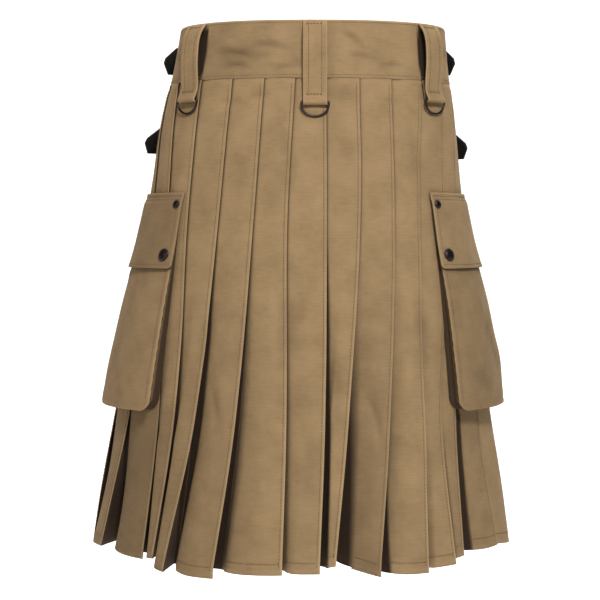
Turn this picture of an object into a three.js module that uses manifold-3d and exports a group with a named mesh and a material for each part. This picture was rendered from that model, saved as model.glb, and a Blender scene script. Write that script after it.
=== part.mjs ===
// Utility kilt of heavy cotton twill, filled out as if worn.
// Millimetres, +Z up. The origin is the centre of the waist ring, level with the top edge.
// The back faces -Y and the wearer's right is +X.
//
// Cloth is placed by three numbers: the arc (mm round the ring from the centre back, plus to
// the wearer's right), the drop (mm below the top edge) and the out (mm outside the form).

import * as THREE from 'three';
import Module from 'manifold-3d';

const wasm = await Module();
wasm.setup();

// The filled-out form: one row per level. The squareness is the exponent of its oval, and the
// side shift is how far both its sides sit off an even oval, plus to the wearer's right.
const FORM = [
  { drop: 0, halfWidth: 157, halfDepth: 104, squareness: 2.35, sideShift: 0 },
  { drop: 52, halfWidth: 164, halfDepth: 108, squareness: 2.33, sideShift: -1.6 },
  { drop: 88, halfWidth: 172, halfDepth: 114, squareness: 2.31, sideShift: -2.6 },
  { drop: 125, halfWidth: 178, halfDepth: 124, squareness: 2.3, sideShift: -4 },
  { drop: 178, halfWidth: 184, halfDepth: 134, squareness: 2.28, sideShift: -4.4 },
  { drop: 230, halfWidth: 191, halfDepth: 141, squareness: 2.26, sideShift: -4.2 },
  { drop: 330, halfWidth: 207, halfDepth: 156, squareness: 2.22, sideShift: -2.6 },
  { drop: 449, halfWidth: 224, halfDepth: 172, squareness: 2.16, sideShift: -3.2 },
  { drop: 530, halfWidth: 235, halfDepth: 181, squareness: 2.13, sideShift: -2.6 },
  { drop: 616, halfWidth: 244, halfDepth: 190, squareness: 2.1, sideShift: -2.4 },
];
const HEM_LEAN = -12.5;
const FORM_LENGTH = 611;
const ARC_SAMPLES = 720;

// Cloth, leather and seams
const TWILL = 1.2;
const DOUBLE_TWILL = 1.8;
const LAYER_PITCH = 1.9;
const SEAM_GAP = 0.3;
const HIDDEN_SEAM_GAP = 0.6;
const LAID_GAP = 1.2;
const NESTED_GAP = 0.6;
const BAND_THICK = 3;
const BAND_HEIGHT = 66;
const LEATHER = 3;

// Pleats: arcs of each fold's edge at four levels, then how its hem hangs.
// opens: drop at which the fold stops being sewn flat; lift: how far the fold stands out at the
// hem; gap and recess: width and depth of the hollow to the right of the fold at the hem.
const FOLD_LEVELS = { band: 66, fell: 230, pocketHem: 450, hem: 610 };
const FOLDS = [
  { name: 'apron', band: -322, fell: -348, pocketHem: -406, hem: -468, drop: 612, opens: 430, lift: 5, gap: 5, recess: 12 },
  { name: 'sideL2', band: -284, fell: -303, pocketHem: -352, hem: -398, drop: 610, opens: 445, lift: 7, gap: 5, recess: 12 },
  { name: 'sideL1', band: -246, fell: -258, pocketHem: -291, hem: -331, drop: 608, opens: 445, lift: 7, gap: 5, recess: 14 },
  { name: 'L0', band: -208, fell: -214, pocketHem: -228, hem: -265, drop: 603, opens: 445, lift: 9, gap: 13, recess: 24 },
  { name: 'L1', band: -171, fell: -174, pocketHem: -174, hem: -183, drop: 605, opens: 445, lift: 10, gap: 4, recess: 10 },
  { name: 'L2', band: -131, fell: -142, pocketHem: -149, hem: -170, drop: 603, opens: 330, lift: 9, gap: 4, recess: 11 },
  { name: 'L3', band: -91, fell: -103, pocketHem: -122, hem: -152, drop: 615, opens: 235, lift: 13, gap: 5, recess: 20 },
  { name: 'L4', band: -54, fell: -62, pocketHem: -75, hem: -94, drop: 617, opens: 225, lift: 15, gap: 18, recess: 26 },
  { name: 'L5', band: -19, fell: -24, pocketHem: -20, hem: -21, drop: 612, opens: 260, lift: 10, gap: 4, recess: 8 },
  { name: 'L6', band: 16, fell: 20, pocketHem: 22, hem: 19, drop: 611, opens: 240, lift: 10, gap: 8, recess: 26 },
  { name: 'L7', band: 54, fell: 58, pocketHem: 48, hem: 36, drop: 604, opens: 230, lift: 4, gap: 11, recess: 27 },
  { name: 'L8', band: 92, fell: 99, pocketHem: 94, hem: 84, drop: 615, opens: 225, lift: 14, gap: 12, recess: 24 },
  { name: 'L9', band: 132, fell: 132, pocketHem: 136, hem: 140, drop: 615, opens: 240, lift: 12, gap: 5, recess: 14 },
  { name: 'L10', band: 170, fell: 172, pocketHem: 164, hem: 177, drop: 610, opens: 445, lift: 10, gap: 4, recess: 12 },
  { name: 'L11', band: 204, fell: 200, pocketHem: 186, hem: 193, drop: 603, opens: 445, lift: 6, gap: 10, recess: 24 },
  { name: 'L12', band: 243, fell: 246, pocketHem: 230, hem: 256, drop: 600, opens: 445, lift: 8, gap: 5, recess: 12 },
  { name: 'sideR1', band: 281, fell: 297, pocketHem: 300, hem: 326, drop: 609, opens: 445, lift: 7, gap: 5, recess: 12 },
  { name: 'sideR2', band: 318, fell: 343, pocketHem: 372, hem: 396, drop: 611, opens: 430, lift: 6, gap: 5, recess: 12 },
];

// Pieces the pleated skirt is cut in, each from the first to the last fold it holds
const SKIRT_PIECES = [
  { name: 'skirt_side_left', from: 'sideL2', to: 'L0' },
  { name: 'skirt_back_left', from: 'L1', to: 'L3' },
  { name: 'skirt_back_mid_left', from: 'L4', to: 'L5' },
  { name: 'skirt_back_mid_right', from: 'L6', to: 'L7' },
  { name: 'skirt_back_right', from: 'L8', to: 'L9' },
  { name: 'skirt_hip_right', from: 'L10', to: 'L12' },
  { name: 'skirt_side_right', from: 'sideR1', to: 'sideR2' },
];

// Rings of the skirt, as shares of the way from the band to the hem
const SKIRT_RINGS = [0, 0.07, 0.15, 0.28, 0.42, 0.55, 0.7, 0.85, 1];
const FLAT_UNDERLAY = 12;
const HEM_UNDERLAY = 24;
const OPENING_POWER = 1.25;
const INNER_HEM_RISE = 2;
// How far out a pleat's face has come where it rises from the hollow, and at its middle
const RISE_SHARE = 0.55;
const MIDDLE_SHARE = 0.88;
const FACE_SWELL = 0.05;

// Free edge of the over apron, at the same four levels as the folds
const OVER_APRON_EDGE = { band: 342, fell: 370, pocketHem: 412, hem: 440, drop: 612 };
const UNDER_APRON_TURN_BACK = 45;
const BAND_DRIFT = 3.3;

// Belt loops: the arc is read on the ring 33 mm down; bow is how far the loop stands off, lay is
// how far the band's face lies outside the form there, and bar is the drop of a D-ring's bar
const LOOP_WIDTH = 27;
const LOOPS = [
  { name: 'loop_back_left', arc: -140, bow: 11, lay: 0, bar: 88 },
  { name: 'loop_back_centre', arc: 3, bow: 8, lay: 0, bar: 94 },
  { name: 'loop_back_right', arc: 141, bow: 11, lay: 0, bar: 88 },
  { name: 'loop_front_left', arc: -381, bow: 10, lay: 0.9, bar: null },
  { name: 'loop_front_right', arc: 381, bow: 10, lay: 3, bar: null },
];
const LOOP_LEVEL = 33;
const PLAIN_LOOP_END = 94;
const RING_WIRE = 1.3;
const WIRE_SIDES = 8;
const RING_INNER_WIDTH = 28;
const RING_HEIGHT = 16.4;
// Where the bar turns into the legs, and where the legs turn into the ring's arc
const RING_CORNER = 0.6;
const RING_SHOULDER = 3;
const BAR_CLEARANCE = 0.5;

// Cargo pockets: arcs of the two side edges at the pocket's top and bottom
const POCKETS = [
  { side: 'left', inner: [-149, -173], outer: [-315, -350] },
  { side: 'right', inner: [149, 175], outer: [315, 350] },
];
const POCKET_TOP = 203;
const POCKET_BOTTOM = 441;
const POCKET_CORNER = 15;
const POCKET_WALL = 1.5;
// Drop of the flap's top seam, below which it lifts over the pocket's front
const FLAP_SEAM = 198;
const FLAP_THICK = 1.8;
const FLAP_OVERHANG = 3;
// Levels that the rows of the pocket's front, its gusset and its flap lie on
const FRONT_LEVELS = [206, 225, 266, 300, 340, 385, 426, 434, 438.5, 440.6, 441];
const GUSSET_LEVELS = [224, 266, 310, 355, 395, 426];
const FLAP_LEVELS = [195, 198, 205, 219, 238, 260, 281];
// Outer face of the pocket's front, mm outside the form
const POCKET_FRONT = [
  { drop: 203, out: 2.7 },
  { drop: 225, out: 4.4 },
  { drop: 266, out: 6.8 },
  { drop: 322, out: 12.4 },
  { drop: 377, out: 15.8 },
  { drop: 425, out: 17.6 },
  { drop: 441, out: 17 },
];

// Leather straps, upper on the band and lower on the hip, with a stiff free end behind the buckle
const STRAP_WIDTH = 35;
const STRAP_LEAVE_ANGLE = 40;
const STRAP_POINT = 11;
// rootOut: the strap's middle at its sewn end, outside the form; tabOut: the same for the inner
// face of the buckle's tab; tipX: how far across the strap's point reaches
const STRAPS = [
  { name: 'upper_left', side: -1, drop: 30, rootOut: 2.6, tabOut: 0.7, tipX: 181, rivetX: 165 },
  { name: 'upper_right', side: 1, drop: 30, rootOut: 5.4, tabOut: 0.7, tipX: 173, rivetX: 161 },
  { name: 'lower_left', side: -1, drop: 127, rootOut: 2.1, tabOut: 0.45, tipX: 205, rivetX: 187 },
  { name: 'lower_right', side: 1, drop: 133, rootOut: 2.1, tabOut: 0.45, tipX: 189, rivetX: 174 },
];

const CLOTH = { color: 0xa08763, roughness: 0.95 };
const HIDE = { color: 0x161514, roughness: 0.55 };
const GUNMETAL = { color: 0x3a3a3e, roughness: 0.35, metalness: 1 };
const STEEL = { color: 0xc4c6c8, roughness: 0.25, metalness: 1 };

const group = new THREE.Group();
group.name = 'utility_kilt';

function mix(a, b, share) {
  return a + (b - a) * share;
}

function clamp(value, low, high) {
  return Math.min(Math.max(value, low), high);
}

// Smooth curve through the rows of a short table
function smoothAt(xs, ys, x) {
  const last = xs.length - 1;
  if (x <= xs[0]) return ys[0];
  if (x >= xs[last]) return ys[last];
  let i = 0;
  while (x > xs[i + 1]) i += 1;
  const slopeAt = (k) => {
    const before = Math.max(k - 1, 0);
    const after = Math.min(k + 1, last);
    return (ys[after] - ys[before]) / (xs[after] - xs[before]);
  };
  const step = xs[i + 1] - xs[i];
  const t = (x - xs[i]) / step;
  const rise = ys[i + 1] - ys[i];
  const startSlope = slopeAt(i) * step;
  const endSlope = slopeAt(i + 1) * step;
  const curve = startSlope * (1 - t) - endSlope * t + rise * (2 * t - 1);
  return ys[i] + rise * t + t * (1 - t) * curve;
}

const FORM_DROPS = FORM.map((row) => row.drop);
const formValue = (column, drop) => smoothAt(FORM_DROPS, FORM.map((row) => row[column]), drop);

// One level of the form: its oval, and the arc length along it from the centre back
const ringStore = new Map();
function formRing(drop) {
  const key = drop.toFixed(2);
  if (ringStore.has(key)) return ringStore.get(key);
  const a = formValue('halfWidth', drop);
  const b = formValue('halfDepth', drop);
  const n = formValue('squareness', drop);
  const lean = (HEM_LEAN * drop) / FORM_LENGTH;
  const oval = (share) => Math.sign(share) * Math.abs(share) ** (2 / n);
  const samples = [];
  let length = 0;
  for (let i = 0; i <= ARC_SAMPLES; i += 1) {
    const turn = (i / ARC_SAMPLES) * Math.PI * 2;
    const x = a * oval(Math.sin(turn));
    const y = -b * oval(Math.cos(turn));
    const before = samples[i - 1];
    if (before) length += Math.hypot(x - before.x, y - before.y);
    samples.push({ x, y, arc: length });
  }
  const shift = formValue('sideShift', drop);
  const ring = { a, b, n, lean, shift, samples, length };
  ringStore.set(key, ring);
  return ring;
}

// Point on the form at an arc and a drop, with its outward normal
function formPoint(arc, drop) {
  const { a, b, n, lean, shift, samples, length } = formRing(drop);
  const wanted = ((arc % length) + length) % length;
  let low = 0;
  let high = ARC_SAMPLES;
  while (high - low > 1) {
    const middle = (low + high) >> 1;
    if (samples[middle].arc <= wanted) low = middle;
    else high = middle;
  }
  const share = (wanted - samples[low].arc) / (samples[high].arc - samples[low].arc);
  const x = mix(samples[low].x, samples[high].x, share);
  const y = mix(samples[low].y, samples[high].y, share);
  const slopeX = (Math.sign(x) * Math.abs(x / a) ** (n - 1)) / a;
  const slopeY = (Math.sign(y) * Math.abs(y / b) ** (n - 1)) / b;
  const size = Math.hypot(slopeX, slopeY);
  const normal = new THREE.Vector3(slopeX / size, slopeY / size, 0);
  return { x: x + lean + shift * (x / a) ** 2, y, normal };
}

function place(arc, drop, out) {
  const point = formPoint(arc, drop);
  return new THREE.Vector3(point.x + point.normal.x * out, point.y + point.normal.y * out, -drop);
}

// Vertices and quads gathered into one closed mesh
class Body {
  constructor() {
    this.points = [];
    this.faces = [];
  }

  point(p) {
    this.points.push(p.x, p.y, p.z);
    return this.points.length / 3 - 1;
  }

  quad(a, b, c, d) {
    this.faces.push(a, b, c, a, c, d);
  }

  // Each row is a loop of the same count of vertices; the first and last rows are capped
  tube(rows, caps = true) {
    const around = rows[0].length;
    for (let r = 0; r + 1 < rows.length; r += 1) {
      for (let i = 0; i < around; i += 1) {
        const j = (i + 1) % around;
        this.quad(rows[r][i], rows[r][j], rows[r + 1][j], rows[r + 1][i]);
      }
    }
    if (!caps) return;
    const first = rows[0];
    const last = rows[rows.length - 1];
    for (let i = 1; i + 1 < around; i += 1) {
      this.faces.push(first[0], first[i + 1], first[i]);
      this.faces.push(last[0], last[i], last[i + 1]);
    }
  }

  geometry() {
    const geometry = new THREE.BufferGeometry();
    geometry.setAttribute('position', new THREE.Float32BufferAttribute(this.points, 3));
    geometry.setIndex(this.faces);
    let volume = 0;
    const corner = (k) => new THREE.Vector3().fromArray(this.points, this.faces[k] * 3);
    for (let k = 0; k < this.faces.length; k += 3) {
      volume += corner(k).dot(corner(k + 1).cross(corner(k + 2)));
    }
    if (volume < 0) {
      for (let k = 0; k < this.faces.length; k += 3) {
        const held = this.faces[k + 1];
        this.faces[k + 1] = this.faces[k + 2];
        this.faces[k + 2] = held;
      }
      geometry.setIndex(this.faces);
    }
    geometry.computeVertexNormals();
    return geometry;
  }
}

function addPiece(name, geometry, look) {
  const mesh = new THREE.Mesh(geometry, new THREE.MeshStandardMaterial(look));
  mesh.name = name;
  group.add(mesh);
}

// Sideways step of a wall's two faces at each point of a flat path
function pathSides(path, thick) {
  return path.map((point, i) => {
    const before = path[Math.max(i - 1, 0)];
    const after = path[Math.min(i + 1, path.length - 1)];
    const arriving = new THREE.Vector2(point.x - before.x, point.y - before.y);
    const leaving = new THREE.Vector2(after.x - point.x, after.y - point.y);
    if (i === 0) arriving.copy(leaving);
    if (i === path.length - 1) leaving.copy(arriving);
    arriving.normalize();
    leaving.normalize();
    const along = arriving.clone().add(leaving).normalize();
    const mitre = 1 / Math.max(along.dot(leaving), 0.6);
    return new THREE.Vector3(along.y, -along.x, 0).multiplyScalar((thick / 2) * mitre);
  });
}

// Wall through rings of points, every ring with the same count of points
function ringWall(rings, thick) {
  const body = new Body();
  const rows = rings.map((path) => {
    const sides = pathSides(path, thick);
    const outer = path.map((point, i) => body.point(point.clone().add(sides[i])));
    const inner = path.map((point, i) => body.point(point.clone().sub(sides[i])));
    return { outer, inner };
  });
  for (let r = 0; r + 1 < rows.length; r += 1) {
    const here = rows[r];
    const next = rows[r + 1];
    for (let i = 0; i + 1 < here.outer.length; i += 1) {
      body.quad(here.outer[i], next.outer[i], next.outer[i + 1], here.outer[i + 1]);
      body.quad(here.inner[i], here.inner[i + 1], next.inner[i + 1], next.inner[i]);
    }
    const end = here.outer.length - 1;
    body.quad(here.outer[0], here.inner[0], next.inner[0], next.outer[0]);
    body.quad(here.outer[end], next.outer[end], next.inner[end], here.inner[end]);
  }
  const top = rows[0];
  const bottom = rows[rows.length - 1];
  for (let i = 0; i + 1 < top.outer.length; i += 1) {
    body.quad(top.outer[i], top.outer[i + 1], top.inner[i + 1], top.inner[i]);
    body.quad(bottom.outer[i], bottom.inner[i], bottom.inner[i + 1], bottom.outer[i + 1]);
  }
  return body.geometry();
}

// Pleated skirt

const levelDrops = Object.values(FOLD_LEVELS);
function foldArc(row, drop) {
  const arcs = Object.keys(FOLD_LEVELS).map((level) => row[level]);
  return smoothAt(levelDrops, arcs, drop);
}

// State of one fold at a share of the way from the band to the hem
function foldAt(index, share) {
  const row = FOLDS[index];
  const drop = mix(BAND_HEIGHT + SEAM_GAP, row.drop, share);
  const open = clamp((drop - row.opens) / (row.drop - row.opens), 0, 1) ** OPENING_POWER;
  return {
    drop,
    arc: foldArc(row, drop),
    open,
    lift: row.lift * open,
    gap: mix(4, row.gap, open),
    recess: row.recess * open,
    innerDrop: drop - INNER_HEM_RISE * open * share,
  };
}

// How far the hidden part of a fold reaches back under its own face
function underlay(index, share) {
  const fold = foldAt(index, share);
  const reach = mix(FLAT_UNDERLAY, HEM_UNDERLAY, fold.open);
  if (index === 0) return reach;
  const before = foldAt(index - 1, share);
  return clamp(fold.arc - before.arc - before.gap - 3, 4, reach);
}

const FACE = -TWILL / 2;
const bendStep = LAYER_PITCH / 2;

// Points from the hidden seam after the fold before, over the face, round the fold and back under
function pleatPath(index, share) {
  const fold = foldAt(index, share);
  const reach = underlay(index, share);
  const stubOut = FACE - 2 * LAYER_PITCH - fold.recess;
  const innerArc = fold.arc - reach;
  const points = [];
  const add = (arc, out, drop) => points.push(place(arc, drop, out));
  const foldOut = FACE + fold.lift;
  add(fold.arc - bendStep, foldOut, fold.drop);
  add(fold.arc, foldOut - bendStep, fold.drop);
  add(fold.arc - bendStep, foldOut - LAYER_PITCH, fold.drop);
  add(innerArc + bendStep, stubOut + LAYER_PITCH, fold.innerDrop);
  add(innerArc, stubOut + bendStep, fold.innerDrop);
  add(innerArc + bendStep, stubOut, fold.innerDrop);
  return points;
}

// Where the seam lies on the hidden part behind a fold
function seamPoint(index, share, past) {
  const fold = foldAt(index, share);
  const reach = underlay(index, share);
  const stubOut = FACE - 2 * LAYER_PITCH - fold.recess;
  const seamArc = fold.arc - reach + clamp(reach * 0.5, 2.5, 8) + past;
  return place(seamArc, fold.innerDrop, stubOut);
}

// Face of a pleat between the fold before it and its own
function facePath(index, share) {
  const before = foldAt(index - 1, share);
  const fold = foldAt(index, share);
  const reach = underlay(index, share);
  const stubOut = FACE - 2 * LAYER_PITCH - before.recess;
  const width = fold.arc - before.arc;
  const riseArc = before.arc + Math.min(before.gap, width * 0.6);
  const flatArc = Math.max(fold.arc - reach - 1, riseArc + 0.1 * width);
  const middleArc = mix(riseArc, flatArc, 0.5);
  const full = FACE + fold.lift;
  const middleDrop = mix(before.innerDrop, fold.drop, 0.5);
  return [
    place(before.arc + 1, before.innerDrop, stubOut + 0.12 * before.recess),
    place(riseArc, mix(before.innerDrop, fold.drop, 0.35), mix(stubOut, full, RISE_SHARE)),
    place(middleArc, middleDrop, mix(stubOut, full, MIDDLE_SHARE)),
    place(flatArc, mix(middleDrop, fold.drop, 0.6), full + FACE_SWELL * fold.lift),
  ];
}

const foldIndex = (name) => FOLDS.findIndex((row) => row.name === name);

function skirtPiece({ name, from, to }) {
  const rings = SKIRT_RINGS.map((share) => {
    const first = foldIndex(from);
    const last = foldIndex(to);
    const path = [seamPoint(first - 1, share, HIDDEN_SEAM_GAP)];
    for (let index = first; index <= last; index += 1) {
      path.push(...facePath(index, share), ...pleatPath(index, share));
    }
    path.push(seamPoint(last, share, 0));
    return path;
  });
  addPiece(name, ringWall(rings, TWILL), CLOTH);
}
SKIRT_PIECES.forEach(skirtPiece);

// Aprons across the front

const APRON_STEPS = 12;

function overApron() {
  const rings = SKIRT_RINGS.map((share) => {
    const fold = foldAt(0, share);
    const freeDrop = mix(BAND_HEIGHT + SEAM_GAP, OVER_APRON_EDGE.drop, share);
    const freeArc = foldArc(OVER_APRON_EDGE, freeDrop) - formRing(freeDrop).length;
    const path = [];
    for (let step = 0; step <= APRON_STEPS; step += 1) {
      const along = step / APRON_STEPS;
      const arc = mix(freeArc, fold.arc - HEM_UNDERLAY, along);
      path.push(place(arc, mix(freeDrop, fold.drop, along), FACE + fold.lift));
    }
    path.push(...pleatPath(0, share), seamPoint(0, share, 0));
    return path;
  });
  addPiece('over_apron', ringWall(rings, TWILL), CLOTH);
}
overApron();

function underApron() {
  const last = FOLDS.length - 1;
  const rings = SKIRT_RINGS.map((share) => {
    const fold = foldAt(last, share);
    const stubOut = FACE - 2 * LAYER_PITCH;
    const far = foldAt(0, share);
    const endArc = far.arc + formRing(far.drop).length - HEM_UNDERLAY - UNDER_APRON_TURN_BACK;
    const path = [seamPoint(last, share, HIDDEN_SEAM_GAP)];
    path.push(place(fold.arc + 1, fold.innerDrop, stubOut - 0.8 * fold.recess));
    const startArc = fold.arc + 8;
    for (let step = 0; step <= APRON_STEPS; step += 1) {
      const along = step / APRON_STEPS;
      path.push(place(mix(startArc, endArc, along), fold.innerDrop, stubOut - 0.3 * fold.recess));
    }
    return path;
  });
  addPiece('under_apron', ringWall(rings, TWILL), CLOTH);
}
underApron();

// Waistband in three lengths

function bandPiece(name, from, to, outAt) {
  const levels = [0, 0.5, 1];
  const steps = Math.round(Math.abs(to(BAND_HEIGHT) - from(BAND_HEIGHT)) / 22);
  const rings = levels.map((share) => {
    const drop = BAND_HEIGHT * share;
    const path = [];
    for (let step = 0; step <= steps; step += 1) {
      const along = step / steps;
      path.push(place(mix(from(drop), to(drop), along), drop, outAt(along)));
    }
    return path;
  });
  addPiece(name, ringWall(rings, BAND_THICK), CLOTH);
}

// Arcs on the band keep their share of the ring from its lower edge to its top edge
const bandLength = formRing(BAND_HEIGHT).length;
const onBand = (arc) => (drop) => (arc * formRing(drop).length) / bandLength;
const leftSeam = FOLDS[0].band - 6;
const underSeam = FOLDS[FOLDS.length - 1].band + 6;
const overEdge = OVER_APRON_EDGE.band - 2 - bandLength;
const underEdge = leftSeam + bandLength - UNDER_APRON_TURN_BACK;
const bandOut = -BAND_THICK / 2;
bandPiece('waistband_back', onBand(leftSeam), onBand(underSeam), () => bandOut);
bandPiece('waistband_over', onBand(overEdge), onBand(leftSeam - SEAM_GAP), (along) => (
  bandOut + BAND_DRIFT * (1 - along)
));
bandPiece('waistband_under', onBand(underSeam + HIDDEN_SEAM_GAP), onBand(underEdge), (along) => (
  bandOut - BAND_DRIFT * along
));

// Flat strip of cloth or leather swept along a side view of (drop, out) points at one arc. A
// third number is the level whose form the point keeps to, where that isn't its own drop.
function strip(arc, side, width, thick, level = LOOP_LEVEL) {
  const base = formPoint(arc, level);
  const tangent = new THREE.Vector3(-base.normal.y, base.normal.x, 0);
  const share = arc / formRing(level).length;
  const path = side.map(([drop, out, formLevel = drop]) => {
    const point = formPoint(share * formRing(formLevel).length, formLevel);
    const away = (point.x - base.x) * base.normal.x + (point.y - base.y) * base.normal.y;
    return { drop, out: away + out };
  });
  const body = new Body();
  const flat = path.map(({ drop, out }) => new THREE.Vector3(out, -drop, 0));
  const sides = pathSides(flat, thick);
  const corner = (point, across) => {
    const world = new THREE.Vector3(base.x, base.y, point.y);
    world.addScaledVector(base.normal, point.x).addScaledVector(tangent, across);
    return body.point(world);
  };
  const rows = flat.map((point, i) => [
    corner(point.clone().add(sides[i]), -width / 2),
    corner(point.clone().add(sides[i]), width / 2),
    corner(point.clone().sub(sides[i]), width / 2),
    corner(point.clone().sub(sides[i]), -width / 2),
  ]);
  body.tube(rows);
  return body.geometry();
}

// Round wire swept along a closed or open line
function wire(line, radius, sides, closed) {
  const body = new Body();
  const count = line.length;
  const plane = new THREE.Vector3();
  for (let i = 0; i + 2 < count; i += 1) {
    const toNext = line[i + 1].clone().sub(line[i]);
    const toSecond = line[i + 2].clone().sub(line[i]);
    plane.add(toNext.cross(toSecond));
  }
  plane.normalize();
  const rows = line.map((point, i) => {
    const before = line[closed ? (i + count - 1) % count : Math.max(i - 1, 0)];
    const after = line[closed ? (i + 1) % count : Math.min(i + 1, count - 1)];
    const along = after.clone().sub(before).normalize();
    const across = new THREE.Vector3().crossVectors(along, plane).normalize();
    const row = [];
    for (let k = 0; k < sides; k += 1) {
      const turn = (k / sides) * Math.PI * 2;
      const spot = point.clone().addScaledVector(across, Math.cos(turn) * radius);
      row.push(body.point(spot.addScaledVector(plane, Math.sin(turn) * radius)));
    }
    return row;
  });
  if (closed) body.tube([...rows, rows[0]], false);
  else body.tube(rows);
  return body.geometry();
}

// Belt loops, three of them with a tail folded round the bar of a D-ring

const loopRest = DOUBLE_TWILL / 2 + SEAM_GAP;
const TAIL_LAY = 1;
const barTurn = RING_WIRE + BAR_CLEARANCE + DOUBLE_TWILL / 2;

function loopSide({ bow, lay, bar }, barOut) {
  const rest = loopRest + lay;
  const end = bar ?? PLAIN_LOOP_END;
  const standing = [
    [1.5, rest],
    [end * 0.095, rest + bow * 0.55],
    [end * 0.21, rest + bow * 0.92],
    [end * 0.37, rest + bow],
    [end * 0.55, rest + bow * 0.9],
    [end * 0.7, rest + bow * 0.62],
  ];
  const foot = loopRest + TAIL_LAY;
  if (bar === null) {
    return [...standing, [end - 18, foot + bow * 0.25], [end - 11, foot], [end - 4, foot]];
  }
  const back = barOut - barTurn;
  const front = back + DOUBLE_TWILL + SEAM_GAP;
  const turns = [90, 45, 0, -45, -90].map((angle) => {
    const turn = (angle * Math.PI) / 180;
    return [bar + barTurn * Math.cos(turn), barOut + barTurn * Math.sin(turn), bar];
  });
  return [...standing, [bar - 17, front + 1], [bar - 9, front], ...turns, [bar - 9, back], [bar - 22, back]];
}

const BAR_OUT = loopRest + barTurn + TAIL_LAY;
const RING_REST = 0.6;

// Local frame of a D-ring: its bar's centre, the line of the bar and the way it hangs
function ringFrame(loop) {
  const base = formPoint(loop.arc, LOOP_LEVEL);
  const bar = new THREE.Vector3(-base.normal.y, base.normal.x, 0);
  const share = loop.arc / formRing(LOOP_LEVEL).length;
  const outAt = (drop) => {
    const point = formPoint(share * formRing(drop).length, drop);
    return (point.x - base.x) * base.normal.x + (point.y - base.y) * base.normal.y;
  };
  const barOut = outAt(loop.bar) + BAR_OUT;
  const lowOut = outAt(loop.bar + RING_HEIGHT) + RING_WIRE + RING_REST;
  const centre = new THREE.Vector3(base.x, base.y, -loop.bar);
  centre.addScaledVector(base.normal, barOut);
  const lean = Math.asin((lowOut - barOut) / RING_HEIGHT);
  const down = new THREE.Vector3(0, 0, -Math.cos(lean)).addScaledVector(base.normal, Math.sin(lean));
  return { centre, bar, down };
}

function dRing(loop) {
  const { centre, bar, down } = ringFrame(loop);
  const half = RING_INNER_WIDTH / 2 + RING_WIRE;
  const depth = RING_HEIGHT - RING_SHOULDER;
  const line = [];
  const put = (across, along) => {
    line.push(centre.clone().addScaledVector(bar, across).addScaledVector(down, along));
  };
  [-0.96, -0.5, 0, 0.5, 0.96].forEach((share) => put(half * share, 0));
  put(half, RING_CORNER);
  const arcSteps = 12;
  for (let step = 0; step <= arcSteps; step += 1) {
    const turn = (step / arcSteps) * Math.PI;
    put(half * Math.cos(turn), RING_SHOULDER + depth * Math.sin(turn));
  }
  put(-half, RING_CORNER);
  addPiece(loop.name.replace('loop', 'd_ring'), wire(line, RING_WIRE, WIRE_SIDES, true), GUNMETAL);
}

LOOPS.forEach((loop) => {
  addPiece(loop.name, strip(loop.arc, loopSide(loop, BAR_OUT), LOOP_WIDTH, DOUBLE_TWILL), CLOTH);
  if (loop.bar !== null) dRing(loop);
});

// Cargo pockets

const frontDrops = POCKET_FRONT.map((row) => row.drop);
const frontOut = (drop) => smoothAt(frontDrops, POCKET_FRONT.map((row) => row.out), drop);

function pocketEdge(pair, drop) {
  return mix(pair[0], pair[1], (drop - POCKET_TOP) / (POCKET_BOTTOM - POCKET_TOP));
}

// Inset of the pocket's rounded lower corners
function cornerInset(drop) {
  const past = drop - (POCKET_BOTTOM - POCKET_CORNER);
  if (past <= 0) return 0;
  return POCKET_CORNER - Math.sqrt(Math.max(POCKET_CORNER ** 2 - past ** 2, 0));
}

const LAID_STEPS = 13;

// Curved sheet between two edges, one row of points for each drop
function laidSheet(drops, edgesAt, centreOut, thick, steps) {
  const rings = drops.map((drop) => {
    const [start, end] = edgesAt(drop);
    const path = [];
    for (let step = 0; step <= steps; step += 1) {
      path.push(place(mix(start, end, step / steps), drop, centreOut(drop)));
    }
    return path;
  });
  return ringWall(rings, thick);
}

function pocketSides(pocket) {
  return pocket.side === 'left' ? [pocket.outer, pocket.inner] : [pocket.inner, pocket.outer];
}

function pocketFront(pocket) {
  const [startEdge, endEdge] = pocketSides(pocket);
  const edgesAt = (drop) => {
    const inset = cornerInset(drop);
    return [pocketEdge(startEdge, drop) + inset, pocketEdge(endEdge, drop) - inset];
  };
  const centre = (drop) => frontOut(drop) - POCKET_WALL / 2;
  addPiece(`pocket_front_${pocket.side}`, laidSheet(FRONT_LEVELS, edgesAt, centre, POCKET_WALL, LAID_STEPS), CLOTH);
}

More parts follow.
